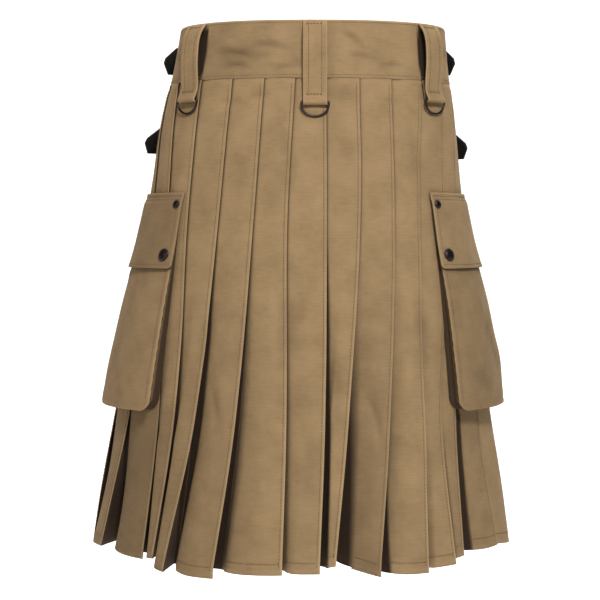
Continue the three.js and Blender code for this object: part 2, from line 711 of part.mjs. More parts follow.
// Strip that stands between the skirt and the pocket's front, down one side, across and up
function pocketGusset(pocket) {
  const [startEdge, endEdge] = pocketSides(pocket);
  const half = POCKET_WALL / 2;
  const stations = [];
  const cornerAngles = [30, 60, 90];
  const round = POCKET_CORNER - half;
  GUSSET_LEVELS.forEach((drop) => stations.push([pocketEdge(startEdge, drop) + half, drop]));
  const lowDrop = POCKET_BOTTOM - half;
  const cornerAt = (edge, way, angle) => {
    const turn = (angle * Math.PI) / 180;
    const drop = lowDrop - round + round * Math.sin(turn);
    return [pocketEdge(edge, drop) + way * (half + round - round * Math.cos(turn)), drop];
  };
  cornerAngles.forEach((angle) => stations.push(cornerAt(startEdge, 1, angle)));
  const first = stations[stations.length - 1][0];
  const last = cornerAt(endEdge, -1, 90)[0];
  for (let step = 1; step < LAID_STEPS; step += 1) {
    stations.push([mix(first, last, step / LAID_STEPS), lowDrop]);
  }
  [...cornerAngles].reverse().forEach((angle) => stations.push(cornerAt(endEdge, -1, angle)));
  [...GUSSET_LEVELS].reverse().forEach((drop) => stations.push([pocketEdge(endEdge, drop) - half, drop]));
  const body = new Body();
  const flat = stations.map(([arc, drop]) => new THREE.Vector3(arc, -drop, 0));
  const sides = pathSides(flat, POCKET_WALL);
  const rows = flat.map((point, i) => {
    const high = frontOut(-point.y) - POCKET_WALL - NESTED_GAP;
    const outer = point.clone().add(sides[i]);
    const inner = point.clone().sub(sides[i]);
    return [
      body.point(place(outer.x, -outer.y, LAID_GAP)),
      body.point(place(outer.x, -outer.y, high)),
      body.point(place(inner.x, -inner.y, high)),
      body.point(place(inner.x, -inner.y, LAID_GAP)),
    ];
  });
  body.tube(rows);
  addPiece(`pocket_gusset_${pocket.side}`, body.geometry(), CLOTH);
}

function flapOut(drop) {
  const over = frontOut(Math.max(drop, POCKET_TOP)) + NESTED_GAP + FLAP_THICK / 2;
  const sewn = LAID_GAP + FLAP_THICK / 2;
  return mix(sewn, over, clamp((drop - FLAP_SEAM) / 7, 0, 1));
}

function pocketFlap(pocket) {
  const [startEdge, endEdge] = pocketSides(pocket);
  const edgesAt = (drop) => [
    pocketEdge(startEdge, drop) - FLAP_OVERHANG,
    pocketEdge(endEdge, drop) + FLAP_OVERHANG,
  ];
  addPiece(`pocket_flap_${pocket.side}`, laidSheet(FLAP_LEVELS, edgesAt, flapOut, FLAP_THICK, LAID_STEPS), CLOTH);
}

// Domed round head seated on a surface point, its axis along the normal given
function roundHead(name, centre, normal, radius, height, look) {
  const profile = [
    new THREE.Vector2(0, 0),
    new THREE.Vector2(radius, 0),
    new THREE.Vector2(radius, height * 0.45),
    new THREE.Vector2(radius * 0.75, height * 0.85),
    new THREE.Vector2(0, height),
  ];
  const geometry = new THREE.LatheGeometry(profile, 14);
  geometry.deleteAttribute('uv');
  geometry.deleteAttribute('normal');
  const merged = weld(geometry);
  const turn = new THREE.Quaternion().setFromUnitVectors(new THREE.Vector3(0, 1, 0), normal);
  merged.applyQuaternion(turn);
  merged.translate(centre.x, centre.y, centre.z);
  addPiece(name, merged, look);
}

// Same geometry with coincident vertices joined and empty triangles dropped
function weld(geometry) {
  const source = geometry.getAttribute('position');
  const index = geometry.getIndex();
  const body = new Body();
  const seen = new Map();
  const joined = [];
  for (let i = 0; i < source.count; i += 1) {
    const p = new THREE.Vector3().fromBufferAttribute(source, i);
    const key = `${p.x.toFixed(4)},${p.y.toFixed(4)},${p.z.toFixed(4)}`;
    if (!seen.has(key)) seen.set(key, body.point(p));
    joined.push(seen.get(key));
  }
  for (let k = 0; k < index.count; k += 3) {
    const [a, b, c] = [0, 1, 2].map((step) => joined[index.getX(k + step)]);
    if (a !== b && b !== c && c !== a) body.faces.push(a, b, c);
  }
  return body.geometry();
}

const SMALL_SNAP = { radius: 4.9, height: 2.4, drop: 208.5, inset: 7 };
const LARGE_SNAP = { radius: 7.5, height: 3.4, drop: 266, inset: 13 };

// Outward direction of the flap's face, which leans with the form and the pocket
function flapNormal(arc, drop) {
  const step = 4;
  const along = place(arc + step, drop, flapOut(drop)).sub(place(arc - step, drop, flapOut(drop)));
  const down = place(arc, drop + step, flapOut(drop + step));
  down.sub(place(arc, drop - step, flapOut(drop - step)));
  return down.cross(along).normalize();
}

function flapSnaps(pocket) {
  [SMALL_SNAP, LARGE_SNAP].forEach((snap, size) => {
    ['inner', 'outer'].forEach((edge) => {
      const way = Math.sign(pocket.inner[0]) * (edge === 'inner' ? 1 : -1);
      const arc = pocketEdge(pocket[edge], snap.drop) + way * (snap.inset - FLAP_OVERHANG);
      const normal = flapNormal(arc, snap.drop);
      const sagitta = snap.radius ** 2 / 200;
      const seat = place(arc, snap.drop, flapOut(snap.drop));
      seat.addScaledVector(normal, FLAP_THICK / 2 + 0.15 + sagitta);
      const label = `snap_${size === 0 ? 'small' : 'large'}_${edge}_${pocket.side}`;
      roundHead(label, seat, normal, snap.radius, snap.height, GUNMETAL);
    });
  });
}

POCKETS.forEach((pocket) => {
  pocketFront(pocket);
  pocketGusset(pocket);
  pocketFlap(pocket);
  flapSnaps(pocket);
});

// Leather straps and buckles

const STRAP_OUT = 10.6;
const STRAP_ON_BODY = 58;

// Arc on the front quarter where the form runs off at the strap's angle
function leaveArc(drop) {
  const length = formRing(drop).length;
  const wanted = Math.sin((STRAP_LEAVE_ANGLE * Math.PI) / 180);
  let low = length * 0.25;
  let high = length * 0.5;
  for (let step = 0; step < 40; step += 1) {
    const middle = (low + high) / 2;
    if (formPoint(middle, drop).normal.x > wanted) low = middle;
    else high = middle;
  }
  return low;
}

// Direction down the cloth at an arc, which leans outward with the form
function downAt(arc, drop) {
  const reach = STRAP_WIDTH / 2;
  return place(arc, drop + reach, 0).sub(place(arc, drop - reach, 0)).normalize();
}

// Line of a strap from its root on the apron to the point of its free end
function strapLine({ side, drop, rootOut, tipX }) {
  const leave = leaveArc(drop) * side;
  const points = [];
  const downs = [];
  const steps = 5;
  for (let step = 0; step <= steps; step += 1) {
    const share = step / steps;
    const arc = leave + side * STRAP_ON_BODY * (1 - share);
    const point = place(arc, drop, mix(rootOut, STRAP_OUT, Math.min(share * 1.6, 1)));
    points.push(point);
    downs.push(downAt(arc, drop));
  }
  const end = points[steps];
  const down = downs[steps];
  const angle = (STRAP_LEAVE_ANGLE * Math.PI) / 180;
  const ahead = new THREE.Vector3(side * Math.cos(angle), -Math.sin(angle), 0);
  const freeLength = (tipX - side * end.x) / Math.cos(angle);
  const outward = new THREE.Vector3().crossVectors(ahead, down).multiplyScalar(side).normalize();
  return { points, downs, down, end, ahead, freeLength, outward };
}

function strap(spec) {
  const { points, downs, down, end, ahead, freeLength } = strapLine(spec);
  const shoulder = end.clone().addScaledVector(ahead, freeLength - STRAP_POINT);
  const nose = end.clone().addScaledVector(ahead, freeLength);
  const path = [...points, end.clone().lerp(shoulder, 0.5), shoulder, nose];
  const widths = path.map(() => STRAP_WIDTH);
  widths[widths.length - 1] = STRAP_WIDTH * 0.22;
  const sides = pathSides(path, LEATHER);
  const body = new Body();
  const rows = path.map((point, i) => {
    const corner = (way, height) => {
      const spot = point.clone().addScaledVector(sides[i], way);
      return body.point(spot.addScaledVector(downs[i] || down, -height));
    };
    const half = widths[i] / 2;
    return [corner(1, -half), corner(1, half), corner(-1, half), corner(-1, -half)];
  });
  body.tube(rows);
  addPiece(`strap_${spec.name}`, body.geometry(), HIDE);
}

function strapRivet(spec) {
  const { end, ahead, outward, freeLength } = strapLine(spec);
  const back = (spec.tipX - spec.rivetX) / Math.abs(ahead.x);
  const seat = end.clone().addScaledVector(ahead, freeLength - back);
  const inward = outward.clone().negate();
  seat.addScaledVector(inward, LEATHER / 2 + 0.15);
  roundHead(`rivet_${spec.name}`, seat, inward, 4.8, 2.2, STEEL);
}

// Frame with its prong lying on the strap; the rear bar passes beneath the strap
const BUCKLE_WIRE = 1.6;
const BUCKLE_LENGTH = 26;
const BUCKLE_WIDTH = STRAP_WIDTH + 8;
const BUCKLE_CORNER = 4;
const BUCKLE_TILT = 3;
const PRONG_WIRE = 1.3;
const PRONG_SINK = 0.3;
const PRONG_LIFT = 0.4;
const TAB_LEATHER = 2;
const TAB_WIDTH = 30;
const TAB_LENGTH = 42;

// Centre of the buckle's rear bar, inside the strap with the tab's upper layer between them
function rearBar({ end, ahead, outward }) {
  const depth = LEATHER / 2 + BUCKLE_WIRE + TAB_LEATHER + 2 * SEAM_GAP + 0.1;
  return end.clone().addScaledVector(ahead, 2).addScaledVector(outward, -depth);
}

function buckle(spec) {
  const lie = strapLine(spec);
  const { end, ahead, outward, down } = lie;
  const clear = LEATHER / 2 + SEAM_GAP + BUCKLE_WIRE;
  const rear = rearBar(lie);
  const front = end.clone().addScaledVector(ahead, -BUCKLE_LENGTH);
  front.addScaledVector(outward, clear + BUCKLE_TILT);
  const length = front.distanceTo(rear);
  const forward = front.clone().sub(rear).normalize();
  const up = down.clone().negate();
  const frameLine = [];
  const nearX = BUCKLE_CORNER;
  const farX = length - BUCKLE_CORNER;
  const sideY = BUCKLE_WIDTH / 2 - BUCKLE_CORNER;
  [[farX, sideY, 0], [nearX, sideY, 90], [nearX, -sideY, 180], [farX, -sideY, 270]].forEach(([x, y, start]) => {
    [0, 30, 60, 90].forEach((step) => {
      const turn = ((start + step) * Math.PI) / 180;
      const spot = rear.clone().addScaledVector(forward, x + BUCKLE_CORNER * Math.cos(turn));
      frameLine.push(spot.addScaledVector(up, y + BUCKLE_CORNER * Math.sin(turn)));
    });
  });
  const prongBack = end.clone().addScaledVector(ahead, -3).addScaledVector(outward, clear - PRONG_SINK);
  const prongFront = front.clone().addScaledVector(outward, PRONG_LIFT);
  const prongMiddle = prongBack.clone().lerp(prongFront, 0.5).addScaledVector(outward, PRONG_SINK);
  const frame = wire(frameLine, BUCKLE_WIRE, WIRE_SIDES, true);
  const prong = wire([prongBack, prongMiddle, prongFront], PRONG_WIRE, WIRE_SIDES, false);
  addPiece(`buckle_${spec.name}`, joined([frame, prong]), STEEL);
}

// One solid from several that run into each other
function joined(geometries) {
  const solids = geometries.map((geometry) => new wasm.Manifold(new wasm.Mesh({
    numProp: 3,
    vertProperties: new Float32Array(geometry.getAttribute('position').array),
    triVerts: new Uint32Array(geometry.getIndex().array),
  })));
  const whole = solids.reduce((sum, solid) => sum.add(solid)).getMesh();
  const result = new THREE.BufferGeometry();
  result.setAttribute('position', new THREE.BufferAttribute(whole.vertProperties, whole.numProp));
  result.setIndex(new THREE.BufferAttribute(whole.triVerts, 1));
  result.computeVertexNormals();
  return result;
}

// Leather tab sewn to the hip and folded round the buckle's rear bar
function buckleTab(spec) {
  const lie = strapLine(spec);
  const { ahead, outward, down } = lie;
  const bar = rearBar(lie);
  const turn = BUCKLE_WIRE + SEAM_GAP + TAB_LEATHER / 2 + 0.15;
  const leave = leaveArc(spec.drop) * spec.side;
  const low = spec.tabOut + TAB_LEATHER / 2;
  const arcs = [1, 0.75, 0.5, 0.25].map((share) => leave - spec.side * TAB_LENGTH * share);
  const path = arcs.map((arc) => place(arc, spec.drop, low));
  const downs = arcs.map((arc) => downAt(arc, spec.drop));
  [-90, -135, 180, 135, 90].forEach((angle) => {
    const spin = (angle * Math.PI) / 180;
    const spot = bar.clone().addScaledVector(ahead, turn * Math.cos(spin));
    path.push(spot.addScaledVector(outward, turn * Math.sin(spin)));
  });
  path.push(bar.clone().addScaledVector(ahead, 8).addScaledVector(outward, turn - 0.6));
  const sides = pathSides(path, TAB_LEATHER);
  const body = new Body();
  const rows = path.map((point, i) => [[1, -1], [1, 1], [-1, 1], [-1, -1]].map(([way, height]) => {
    const spot = point.clone().addScaledVector(sides[i], way);
    return body.point(spot.addScaledVector(downs[i] || down, (-height * TAB_WIDTH) / 2));
  }));
  body.tube(rows);
  addPiece(`buckle_tab_${spec.name}`, body.geometry(), HIDE);
}

STRAPS.forEach((spec) => {
  strap(spec);
  strapRivet(spec);
  buckle(spec);
  buckleTab(spec);
});

export default group;
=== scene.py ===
# Looks of the utility kilt: fine cloth shells, stitching, leather, metal, camera and light.
# Lengths are in millimetres until a mesh is made. Cloth is placed as in the part's source, by
# arc (round the ring from the centre back), drop (below the top edge) and out (off the form).

import math

import bpy
import numpy as np
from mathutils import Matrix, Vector


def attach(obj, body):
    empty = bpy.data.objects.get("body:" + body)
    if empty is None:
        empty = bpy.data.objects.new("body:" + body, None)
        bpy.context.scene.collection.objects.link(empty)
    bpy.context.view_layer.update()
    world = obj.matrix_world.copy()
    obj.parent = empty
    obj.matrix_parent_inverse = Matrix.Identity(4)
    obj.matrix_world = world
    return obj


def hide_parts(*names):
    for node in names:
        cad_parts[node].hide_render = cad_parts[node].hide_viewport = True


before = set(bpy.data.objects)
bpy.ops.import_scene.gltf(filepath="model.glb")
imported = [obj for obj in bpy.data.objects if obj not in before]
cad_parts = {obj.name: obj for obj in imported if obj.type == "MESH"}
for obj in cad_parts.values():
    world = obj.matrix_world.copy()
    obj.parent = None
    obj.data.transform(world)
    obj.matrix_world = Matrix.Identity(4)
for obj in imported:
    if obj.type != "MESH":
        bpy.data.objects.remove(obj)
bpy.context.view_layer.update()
MM = 0.001

# The filled-out form: drop, half width, half depth, squareness of the oval
FORM_DROP = [0, 52, 88, 125, 178, 230, 330, 449, 530, 616]
FORM_WIDTH = [157, 164, 172, 178, 184, 191, 207, 224, 235, 244]
FORM_DEPTH = [104, 108, 114, 124, 134, 141, 156, 172, 181, 190]
FORM_SQUARE = [2.35, 2.33, 2.31, 2.3, 2.28, 2.26, 2.22, 2.16, 2.13, 2.1]
# How far both sides sit to the wearer's left of an even oval, at the same drops
FORM_SIDE_SHIFT = [0, -1.6, -2.6, -4, -4.4, -4.2, -2.6, -3.2, -2.6, -2.4]
HEM_LEAN = -12.5
FORM_LENGTH = 611
LEVEL_STEP = 2.5
LEVELS = np.arange(0, 640, LEVEL_STEP)
TURNS = np.linspace(0, 2 * math.pi, 721)

TWILL = 0.9
DOUBLE_TWILL = 1.8
PITCH = 1.05
FACE = -TWILL / 2
BAND_HEIGHT = 66
BAND_THICK = 3
HEM_TURN = 12
SEAM_GAP = 0.3
HIDDEN_SEAM_GAP = 0.6
UNDER_BAND_GAP = 0.15
SKIRT_TOP = BAND_HEIGHT + SEAM_GAP

# Each fold: arcs of its edge at four levels, hem drop, drop where it opens, lift of the edge,
# width of the hollow to its right and depth of that hollow, all at the hem. Where given, dark is
# the width of painted shadow beside the edge and shade the painted shade on the next face, each
# as its start, its end at the hem and the power of the way between. dim is a factor on the
# painted shade of the hollow, and slope is 1 for a next face that slopes evenly.
FOLD_LEVELS = [66, 230, 450, 610]
FOLDS = {
    "apron": dict(arcs=(-322, -348, -406, -468), drop=612, opens=430, lift=5, gap=5, recess=12),
    "sideL2": dict(arcs=(-284, -303, -352, -398), drop=610, opens=445, lift=7, gap=5, recess=12),
    "sideL1": dict(arcs=(-246, -258, -291, -331), drop=608, opens=445, lift=7, gap=5, recess=14,
                   shade=(0.15, 0.2, 1)),
    "L0": dict(arcs=(-208, -214, -228, -265), drop=603, opens=445, lift=9, gap=9, recess=24,
               dark=(3, 7, 2), shade=(0.4, 0.4, 1)),
    "L1": dict(arcs=(-171, -174, -174, -183), drop=605, opens=445, lift=10, gap=4, recess=10,
               shade=(0.28, 0.3, 1)),
    "L2": dict(arcs=(-131, -142, -149, -170), drop=603, opens=330, lift=9, gap=4, recess=11,
               shade=(0, 0.35, 0.5)),
    "L3": dict(arcs=(-91, -103, -122, -152), drop=615, opens=235, lift=13, gap=6, recess=20,
               dark=(2, 9, 2), shade=(0, 0.2, 0.5)),
    "L4": dict(arcs=(-54, -62, -75, -94), drop=617, opens=225, lift=15, gap=6, recess=26, dim=0.55),
    "L5": dict(arcs=(-19, -24, -20, -21), drop=612, opens=260, lift=10, gap=4, recess=8),
    "L6": dict(arcs=(16, 20, 22, 19), drop=611, opens=240, lift=10, gap=8, recess=26,
               dark=(2, 11, 0.6)),
    "L7": dict(arcs=(54, 58, 48, 36), drop=604, opens=230, lift=4, gap=11, recess=27,
               slope=1, shade=(0, 0.26, 0.5)),
    "L8": dict(arcs=(92, 99, 94, 84), drop=615, opens=225, lift=14, gap=8, recess=24,
               dark=(0, 17, 2)),
    "L9": dict(arcs=(132, 132, 136, 140), drop=615, opens=240, lift=12, gap=5, recess=14),
    "L10": dict(arcs=(170, 172, 164, 177), drop=610, opens=445, lift=10, gap=4, recess=12,
                shade=(0.12, 0.12, 1)),
    "L11": dict(arcs=(204, 200, 186, 193), drop=603, opens=445, lift=6, gap=10, recess=24,
                dark=(9, 22, 0.6), shade=(0.2, 0.2, 1)),
    "L12": dict(arcs=(243, 246, 230, 256), drop=600, opens=445, lift=8, gap=5, recess=12,
                dark=(6, 14, 0.6)),
    "sideR1": dict(arcs=(281, 297, 300, 326), drop=609, opens=445, lift=7, gap=5, recess=12,
                   dark=(0, 9, 0.6)),
    "sideR2": dict(arcs=(318, 343, 372, 396), drop=611, opens=430, lift=6, gap=5, recess=12),
}
FOLD_NAMES = list(FOLDS)
FLAT_UNDERLAY = 12
HEM_UNDERLAY = 24
OPENING_POWER = 1.25
INNER_HEM_RISE = 2
# Painted shade in crease troughs, per millimetre of trough depth
CREASE_PAINTED_SHADE = 0.1

# Skirt lengths, by the first and last fold of each
SKIRT_PIECES = {
    "skirt_side_left": ("sideL2", "L0"),
    "skirt_back_left": ("L1", "L3"),
    "skirt_back_mid_left": ("L4", "L5"),
    "skirt_back_mid_right": ("L6", "L7"),
    "skirt_back_right": ("L8", "L9"),
    "skirt_hip_right": ("L10", "L12"),
    "skirt_side_right": ("sideR1", "sideR2"),
}
OVER_EDGE = dict(arcs=(342, 370, 412, 440), drop=612)
UNDER_TURN_BACK = 45

# Soft creases: arc and drop at both ends, height (minus is a trough) and half width
CREASES = [
    (-114, 400, -98, 470, -2.6, 6),
    (-128, 300, -138, 430, -2.2, 9),
    (-106, 300, -116, 400, 1.8, 8),
    (-66, 400, -52, 530, 1.8, 13),
    (-50, 250, -38, 430, -2.0, 11),
    (-8, 280, 6, 440, 1.8, 12),
    (-14, 420, -4, 560, -1.6, 10),
    (54, 398, 84, 494, -3.4, 6),
    (74, 330, 60, 410, 2.2, 9),
    (112, 280, 122, 450, -2.0, 10),
    (118, 400, 110, 560, 1.8, 9),
    (4, 300, 12, 520, -1.6, 7),
    (36, 100, 50, 200, 1.9, 9),
    (20, 88, 62, 96, -1.8, 5),
    (-42, 112, -28, 215, -1.8, 8),
    (-112, 92, -66, 99, -1.9, 5),
    (-104, 104, -62, 108, 1.5, 4),
    (-78, 84, -40, 92, -1.8, 4),
    (-96, 120, -72, 200, 1.7, 8),
    (66, 100, 112, 94, -1.6, 5),
    (112, 110, 118, 200, -1.8, 8),
    (84, 220, 74, 330, 1.6, 9),
    (420, 150, 452, 330, -3.0, 20),
    (-430, 240, -452, 480, 3.0, 24),
    (-404, 100, -446, 190, -2.4, 13),
    (456, 360, 484, 540, -3.0, 22),
    (-372, 420, -396, 570, 2.4, 13),
    (342, 430, 354, 570, -2.4, 12),
    (500, 200, 470, 300, 2.4, 18),
    (-470, 100, -420, 112, -2.0, 7),
    (440, 94, 500, 104, -2.0, 7),
]
# The same for the band, where wrinkles run sideways between the loops
BAND_CREASES = [
    (-124, 38, -62, 47, -2.9, 4),
    (-116, 31, -84, 33, 1.6, 4),
    (-84, 32, -16, 40, -2.8, 4),
    (-76, 24, -26, 28, 2.0, 5),
    (-112, 55, -64, 57, -2.6, 3.5),
    (-124, 50, -20, 55, -1.6, 9),
    (-30, 40, -12, 60, -1.8, 5),
    (-70, 50, -24, 56, 2.0, 4),
    (-48, 59, -14, 55, -2.2, 3),
    (24, 12, 66, 40, -2.4, 4),
    (30, 44, 88, 52, -2.2, 4),
    (60, 26, 122, 36, 1.9, 5),
    (70, 58, 120, 54, -2.0, 3),
    (-205, 36, -168, 50, -2.2, 5),
    (-196, 22, -160, 26, 1.6, 5),
    (168, 30, 214, 46, -2.2, 5),
    (-300, 36, -236, 48, 2.0, 6),
    (230, 44, 300, 34, -2.2, 6),
    (400, 36, 500, 46, -2.2, 6),
    (-470, 30, -400, 40, 2.2, 6),
]


def smooth_at(xs, ys, x):
    """Smooth curve through the rows of a short table."""
    xs = np.asarray(xs, float)
    ys = np.asarray(ys, float)
    x = np.clip(np.asarray(x, float), xs[0], xs[-1])
    i = np.clip(np.searchsorted(xs, x, side="right") - 1, 0, len(xs) - 2)
    before = np.maximum(np.arange(len(xs)) - 1, 0)
    after = np.minimum(np.arange(len(xs)) + 1, len(xs) - 1)
    slope = (ys[after] - ys[before]) / (xs[after] - xs[before])
    step = xs[i + 1] - xs[i]
    t = (x - xs[i]) / step
    rise = ys[i + 1] - ys[i]
    curve = slope[i] * step * (1 - t) - slope[i + 1] * step * t + rise * (2 * t - 1)
    return ys[i] + rise * t + t * (1 - t) * curve


def mix(a, b, share):
    return a + (b - a) * share


def bell(value, width):
    """1 in the middle, falling smoothly to nothing a few widths away."""
    return np.exp(-((value / width) ** 2))


def ramp(value, width):
    """0 up to zero, then evenly up to 1 over the width."""
    return np.clip(value / width, 0, 1)


def oval_point(turn, drop):
    """Point of the form's oval and its outward normal, with the lean left out."""
    a = smooth_at(FORM_DROP, FORM_WIDTH, drop)
    b = smooth_at(FORM_DROP, FORM_DEPTH, drop)
    n = smooth_at(FORM_DROP, FORM_SQUARE, drop)
    sine = np.sin(turn)
    cosine = np.cos(turn)
    x = a * np.sign(sine) * np.abs(sine) ** (2 / n)
    y = -b * np.sign(cosine) * np.abs(cosine) ** (2 / n)
    slope_x = np.sign(x) * np.abs(x / a) ** (n - 1) / a
    slope_y = np.sign(y) * np.abs(y / b) ** (n - 1) / b
    size = np.hypot(slope_x, slope_y)
    return x, y, slope_x / size, slope_y / size


def arc_table(drop):
    x, y, _, _ = oval_point(TURNS, np.full_like(TURNS, drop))
    return np.concatenate([[0], np.cumsum(np.hypot(np.diff(x), np.diff(y)))])


ARC_TABLES = np.array([arc_table(drop) for drop in LEVELS])


def ring_length(drop):
    return np.interp(drop, LEVELS, ARC_TABLES[:, -1])


def place(arc, drop, out):
    """Points in millimetres from arcs, drops and outs of any one shape."""
    arc, drop, out = np.broadcast_arrays(*(np.asarray(v, float) for v in (arc, drop, out)))
    share = np.clip(drop, 0, LEVELS[-2] - 0.01) / LEVEL_STEP
    level = share.astype(int)
    turn = np.empty(arc.shape)
    for low in np.unique(level):
        here = level == low
        pair = []
        for table in (ARC_TABLES[low], ARC_TABLES[low + 1]):
            laps = np.floor(arc[here] / table[-1])
            pair.append(np.interp(arc[here] - laps * table[-1], table, TURNS) + laps * 2 * math.pi)
        turn[here] = mix(pair[0], pair[1], share[here] - low)
    x, y, nx, ny = oval_point(turn, drop)
    side = x / smooth_at(FORM_DROP, FORM_WIDTH, drop)
    lean = HEM_LEAN * drop / FORM_LENGTH + smooth_at(FORM_DROP, FORM_SIDE_SHIFT, drop) * side ** 2
    return np.stack([x + lean + nx * out, y + ny * out, -drop], axis=-1)


def crease_height(arc, drop, table):
    """Sum of the listed creases at each point, soft across and fading at both ends."""
    total = np.zeros(np.broadcast(arc, drop).shape)
    for arc0, drop0, arc1, drop1, height, half_width in table:
        run = np.array([arc1 - arc0, drop1 - drop0], float)
        length = np.hypot(*run)
        run /= length
        along = ((arc - arc0) * run[0] + (drop - drop0) * run[1]) / length
        bend = 0.12 * length * np.sin(np.clip(along, 0, 1) * math.pi)
        across = (arc - arc0) * run[1] - (drop - drop0) * run[0] - bend
        fade = np.clip(1 - np.abs(2 * along - 1), 0, 1)
        fade = fade * fade * (3 - 2 * fade)
        total = total + height * fade * bell(across, half_width)
    return total


def chaikin(path, rounds):
    """Corner cutting along axis 1, ends kept."""
    for _ in range(rounds):
        near = 0.75 * path[:, :-1] + 0.25 * path[:, 1:]
        far = 0.25 * path[:, :-1] + 0.75 * path[:, 1:]
        cut = np.stack([near, far], axis=2).reshape(path.shape[0], -1, path.shape[2])
        path = np.concatenate([path[:, :1], cut[:, 1:-1], path[:, -1:]], axis=1)
    return path


def fill_steps(path, longest):
    """Splits every step along axis 1 that is longer than the length given."""
    size = np.linalg.norm(np.diff(path[:, :, :2], axis=1), axis=2).max(axis=0)
    columns = []
    for i, length in enumerate(size):
        parts = max(1, int(math.ceil(length / longest)))
        for k in range(parts):
            columns.append(mix(path[:, i], path[:, i + 1], k / parts))
    columns.append(path[:, -1])
    return np.stack(columns, axis=1)


def make_mesh(name, points, faces, uv=None, tones=None):
    """Mesh object from points in millimetres; uv and the named tones are per point."""
    mesh = bpy.data.meshes.new(name)
    mesh.from_pydata((np.asarray(points) * MM).tolist(), [], [list(face) for face in faces])
    mesh.update()
    if uv is not None:
        layer = mesh.uv_layers.new(name="weave")
        index = np.empty(len(mesh.loops), int)
        mesh.loops.foreach_get("vertex_index", index)
        layer.data.foreach_set("uv", (np.asarray(uv) * MM)[index].ravel())
    for tone, values in (tones or {}).items():
        attribute = mesh.attributes.new(tone, "FLOAT", "POINT")
        attribute.data.foreach_set("value", np.clip(np.asarray(values, float).ravel(), 0, 1))
    mesh.polygons.foreach_set("use_smooth", [True] * len(mesh.polygons))
    obj = bpy.data.objects.new(name, mesh)
    bpy.context.scene.collection.objects.link(obj)
    return obj


def grid_normals(grid):
    down = np.gradient(grid, axis=0)
    along = np.gradient(grid, axis=1)
    normal = np.cross(down, along)
    return normal / np.maximum(np.linalg.norm(normal, axis=2, keepdims=True), 1e-9)


def wall(name, grid, thick, wear, painted_shade=0.0, inside=0.15, uv=None):
    """Closed cloth wall round a grid of middle points (rows down, columns along).

    wear pales its edges; the next two tones are painted shade, on its outer side and on its inner side.
    """
    rows, columns = grid.shape[:2]
    normal = grid_normals(grid)
    half = np.broadcast_to(np.asarray(thick, float), (rows, columns))[..., None] / 2
    both_sides = (grid + normal * half, grid - normal * half)
    points = np.concatenate([side.reshape(-1, 3) for side in both_sides])
    count = rows * columns
    index = np.arange(count).reshape(rows, columns)
    a, b, c, d = index[:-1, :-1], index[:-1, 1:], index[1:, 1:], index[1:, :-1]
    outer = np.stack([a, d, c, b], axis=-1).reshape(-1, 4)
    inner = np.stack([a, b, c, d], axis=-1).reshape(-1, 4) + count
    loop = np.concatenate([index[0, :], index[1:, -1], index[-1, -2::-1], index[-2:0:-1, 0]])
    after = np.roll(loop, -1)
    rim = np.stack([loop, after, after + count, loop + count], axis=-1)
    faces = np.concatenate([outer, inner, rim])
    shape = (rows, columns)
    flat_uv = (grid_uv(grid) if uv is None else uv).reshape(-1, 2)
    # Tones for the material: wear, and painted shade for the outer then the inner side.
    tones = dict(
        wear=np.concatenate([np.broadcast_to(wear, shape).ravel()] * 2),
        painted_shade=np.concatenate([np.broadcast_to(side, shape).ravel() for side in (painted_shade, inside)]),
    )
    obj = make_mesh(name, points, faces, np.concatenate([flat_uv] * 2), tones)
    obj.data.materials.append(TWILL_LOOK)
    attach(obj, "kilt")
    return obj, normal


def grid_uv(grid):
    """Distances along and down the cloth, for the weave."""
    step = np.linalg.norm(np.diff(grid, axis=1), axis=2).mean(axis=0)
    along = np.concatenate([[0], np.cumsum(step)])
    down = -grid[..., 2]
    return np.stack([np.broadcast_to(along, down.shape), down], axis=-1)


# Materials

def node(tree, kind, **inputs):
    made = tree.nodes.new(kind)
    for key, value in inputs.items():
        made.inputs[key.replace("_", " ")].default_value = value
    return made


def new_material(name):
    material = bpy.data.materials.new(name)
    material.use_nodes = True
    tree = material.node_tree
    return material, tree, tree.nodes["Principled BSDF"]


def texture(tree, kind, where, **inputs):
    """Node that is read at the places an output gives."""
    made = node(tree, kind, **inputs)
    tree.links.new(where, made.inputs["Vector"])
    return made


def mapped(tree, where, setting, value):
    made = texture(tree, "ShaderNodeMapping", where)
    made.inputs[setting].default_value = value
    return made.outputs["Vector"]


def fitted(tree, source, **limits):
    """An output brought from one range to another."""
    made = node(tree, "ShaderNodeMapRange", **limits)
    tree.links.new(source, made.inputs["Value"])
    return made.outputs["Result"]


def added(tree, source, factor, other):
    """One output times a factor, plus another output."""
    made = tree.nodes.new("ShaderNodeMath")
    made.operation = "MULTIPLY_ADD"
    made.inputs[1].default_value = factor
    tree.links.new(source, made.inputs[0])
    tree.links.new(other, made.inputs[2])
    return made.outputs[0]


def blended(tree, share, low, high):
    """Colour between low and high, by an output; low is a colour or an output itself."""
    made = tree.nodes.new("ShaderNodeMix")
    made.data_type = "RGBA"
    tree.links.new(share, made.inputs[0])
    if isinstance(low, tuple):
        made.inputs[6].default_value = (*low, 1)
    else:
        tree.links.new(low, made.inputs[6])
    made.inputs[7].default_value = (*high, 1)
    return made.outputs[2]


def bumped(tree, height, strength, distance):
    made = node(tree, "ShaderNodeBump", Strength=strength, Distance=distance)
    tree.links.new(height, made.inputs["Height"])
    return made


def marked(tree, tone):
    """Output of a tone that the mesh carries."""
    made = tree.nodes.new("ShaderNodeAttribute")
    made.attribute_name = tone
    return made.outputs["Fac"]


NOISE = "ShaderNodeTexNoise"


